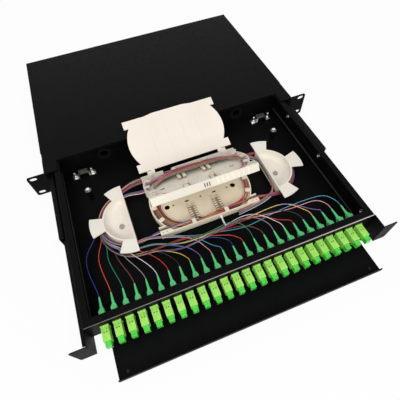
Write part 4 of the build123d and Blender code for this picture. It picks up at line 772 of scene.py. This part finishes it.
# Clip on the front wall of the raised tray: bars (x, width), two rails, a tongue and shaded gaps
WALL_Y = -TRAY_DEPTH
WALL_MIDDLE_Z = 5.7
CLIP_X = 0.8
TRAY_FRAME = Matrix(((1, 0, 0), (0, -TRAY_FORWARD.y, TRAY_UP.y), (0, -TRAY_FORWARD.z, TRAY_UP.z)))
clip = bmesh.new()
for x, width in ((-4.6, 2.4), (-0.9, 2.0), (2.6, 2.0), (6.2, 2.4)):
    slab(clip, upper(x, WALL_Y - 0.35, WALL_MIDDLE_Z), (width, 0.9, 8.6), TRAY_FRAME)
for z in (1.9, 9.6):
    slab(clip, upper(CLIP_X, WALL_Y - 0.4, z), (13.2, 1.0, 1.8), TRAY_FRAME)
slab(clip, upper(CLIP_X, WALL_Y + 4.4, 11.2), (9.0, 8.4, 1.3), TRAY_FRAME)
fitting("raised_tray_clip", clip, raised_ivory, "upper_tray", 0.25)

clip_gaps = bmesh.new()
for x in (-2.65, 0.85, 4.3):
    slab(clip_gaps, upper(x, WALL_Y - 0.05, WALL_MIDDLE_Z), (1.5, 0.4, 5.6), TRAY_FRAME)
fitting("raised_tray_clip_gaps", clip_gaps, gap_shade, "upper_tray", 0.1)

RIBS = 7
RIB_START = 16
RIB_PITCH = 7.6
ribs = bmesh.new()
for number in range(RIBS):
    slab(ribs, upper(RIB_START + number * RIB_PITCH, WALL_Y - 0.5, 5.8), (3.2, 1.2, 9.8), TRAY_FRAME)
fitting("raised_tray_ribs", ribs, lid_ivory, "upper_tray", 0.25)

# Inner bends between the drawer's floor and its side walls: the bends are real, their paler black is a
# painted highlight
DRAWER_WALL_X = 198.8
FOLD = 2.0
FOLD_LENGTH = 273
FOLD_MIDDLE_Y = -109.5
FOLD_INWARD = 0.3
slope = Matrix.Rotation(math.radians(45), 3, "Y")
folds = bmesh.new()
for side in (-1, 1):
    middle = (side * (DRAWER_WALL_X - FOLD_INWARD), FOLD_MIDDLE_Y, LOWER_BASE + FOLD_INWARD)
    slab(folds, middle, (FOLD, FOLD_LENGTH, FOLD), slope)
fitting("drawer_floor_folds", folds, fold_painted_highlight, "drawer", 0.3)

# Cable tie that hangs over the bundle in front of the lower tray: a flat strap along a path, and its head
TIE_PATH = (
    (13.5, -154.4, -8.4), (13.6, -156.0, -8.2), (14.0, -157.8, -9.6), (14.4, -159.8, -12.8),
    (15.0, -163.2, -15.4), (16.0, -168.6, -16.4),
)
TIE_HALF_THICKNESS = 0.55
TIE_HALF_WIDTH = 1.25
tie = bmesh.new()
rings = []
for place_number, (x, y, z) in enumerate(TIE_PATH):
    before = Vector(TIE_PATH[max(0, place_number - 1)])
    after = Vector(TIE_PATH[min(len(TIE_PATH) - 1, place_number + 1)])
    along = (after - before).normalized()
    thick = Vector((1, 0, 0)).cross(along).normalized() * TIE_HALF_THICKNESS
    wide = Vector((TIE_HALF_WIDTH, 0, 0))
    rings.append([tie.verts.new((Vector((x, y, z)) + a * wide + b * thick) * MM)
                  for a, b in ((-1, -1), (1, -1), (1, 1), (-1, 1))])
for one, two in zip(rings, rings[1:]):
    for corner in range(4):
        nearby = (corner + 1) % 4
        tie.faces.new((one[corner], one[nearby], two[nearby], two[corner]))
tie.faces.new(tuple(reversed(rings[0])))
tie.faces.new(tuple(rings[-1]))
bmesh.ops.recalc_face_normals(tie, faces=tie.faces)
slab(tie, (13.5, -155.3, -8.6), (4.2, 3.0, 2.6))
fitting("tray_cable_tie", tie, tie_white, "drawer", 0.3)


# Floor, light and backdrop

def white_rays(nodes, links):
    """Output that is one for rays from the camera, in gloss and through clear parts."""
    rays = nodes.new("ShaderNodeLightPath")
    found = rays.outputs["Is Camera Ray"]
    for kind in ("Is Glossy Ray", "Is Transmission Ray"):
        either = nodes.new("ShaderNodeMath")
        either.operation = "MAXIMUM"
        links.new(found, either.inputs[0])
        links.new(rays.outputs[kind], either.inputs[1])
        found = either.outputs[0]
    return found


def white_ground(name, colour, share):
    """Pale surface with a soft shadow that is white to the camera, in gloss and through clear parts."""
    made = bpy.data.materials.new(name)
    made.use_nodes = True
    nodes, links = made.node_tree.nodes, made.node_tree.links
    nodes.clear()
    amount = nodes.new("ShaderNodeMath")
    amount.operation = "MULTIPLY"
    amount.inputs[1].default_value = share
    links.new(white_rays(nodes, links), amount.inputs[0])
    diffuse = nodes.new("ShaderNodeBsdfDiffuse")
    diffuse.inputs["Color"].default_value = (*colour, 1)
    glow = nodes.new("ShaderNodeEmission")
    mix = nodes.new("ShaderNodeMixShader")
    links.new(amount.outputs[0], mix.inputs["Fac"])
    links.new(diffuse.outputs[0], mix.inputs[1])
    links.new(glow.outputs[0], mix.inputs[2])
    out = nodes.new("ShaderNodeOutputMaterial")
    links.new(mix.outputs[0], out.inputs["Surface"])
    return made


# Floor: half its side in metres, and its height just below the housing
FLOOR_HALF = 3.0
FLOOR_HEIGHT = -22.3
floor_mesh = bpy.data.meshes.new("floor")
corners = [(x * FLOOR_HALF, y * FLOOR_HALF, 0) for x, y in ((-1, -1), (1, -1), (1, 1), (-1, 1))]
floor_mesh.from_pydata(corners, [], [(0, 1, 2, 3)])
floor_mesh.materials.append(white_ground("white_floor", (0.82, 0.82, 0.82), 0.93))
floor = bpy.data.objects.new("floor", floor_mesh)
floor.location.z = FLOOR_HEIGHT * MM
bpy.context.scene.collection.objects.link(floor)

world = bpy.data.worlds.new("studio")
world.use_nodes = True
nodes, links = world.node_tree.nodes, world.node_tree.links
sky = nodes["Background"]
sky.inputs["Color"].default_value = (1, 1, 1, 1)
sky.inputs["Strength"].default_value = 0.55
plain = nodes.new("ShaderNodeBackground")
plain.inputs["Color"].default_value = (1, 1, 1, 1)
plain.inputs["Strength"].default_value = 1.0
choose = nodes.new("ShaderNodeMixShader")
links.new(white_rays(nodes, links), choose.inputs["Fac"])
links.new(sky.outputs[0], choose.inputs[1])
links.new(plain.outputs[0], choose.inputs[2])
links.new(choose.outputs[0], nodes["World Output"].inputs["Surface"])
bpy.context.scene.world = world


def softbox(name, place, aim, size, power):
    """Soft rectangular lamp, in metres and watts, turned to a point."""
    light = bpy.data.lights.new(name, "AREA")
    light.shape = "RECTANGLE"
    light.size, light.size_y = size
    light.energy = power
    lamp = bpy.data.objects.new(name, light)
    lamp.location = place
    lamp.rotation_euler = (Vector(aim) - Vector(place)).to_track_quat("-Z", "Y").to_euler()
    bpy.context.scene.collection.objects.link(lamp)


softbox("key", (-0.8, -0.55, 1.3), (0, -0.1, 0), (0.8, 0.6), 6.0)
softbox("front", (0.1, -1.4, 0.78), (0, -0.1, 0), (1.0, 0.5), 9.2)
softbox("rim", (0.3, 1.3, 0.9), (0, 0, 0), (1.2, 0.5), 2.0)

bpy.context.scene.view_settings.view_transform = "Standard"
bpy.context.view_layer.update()
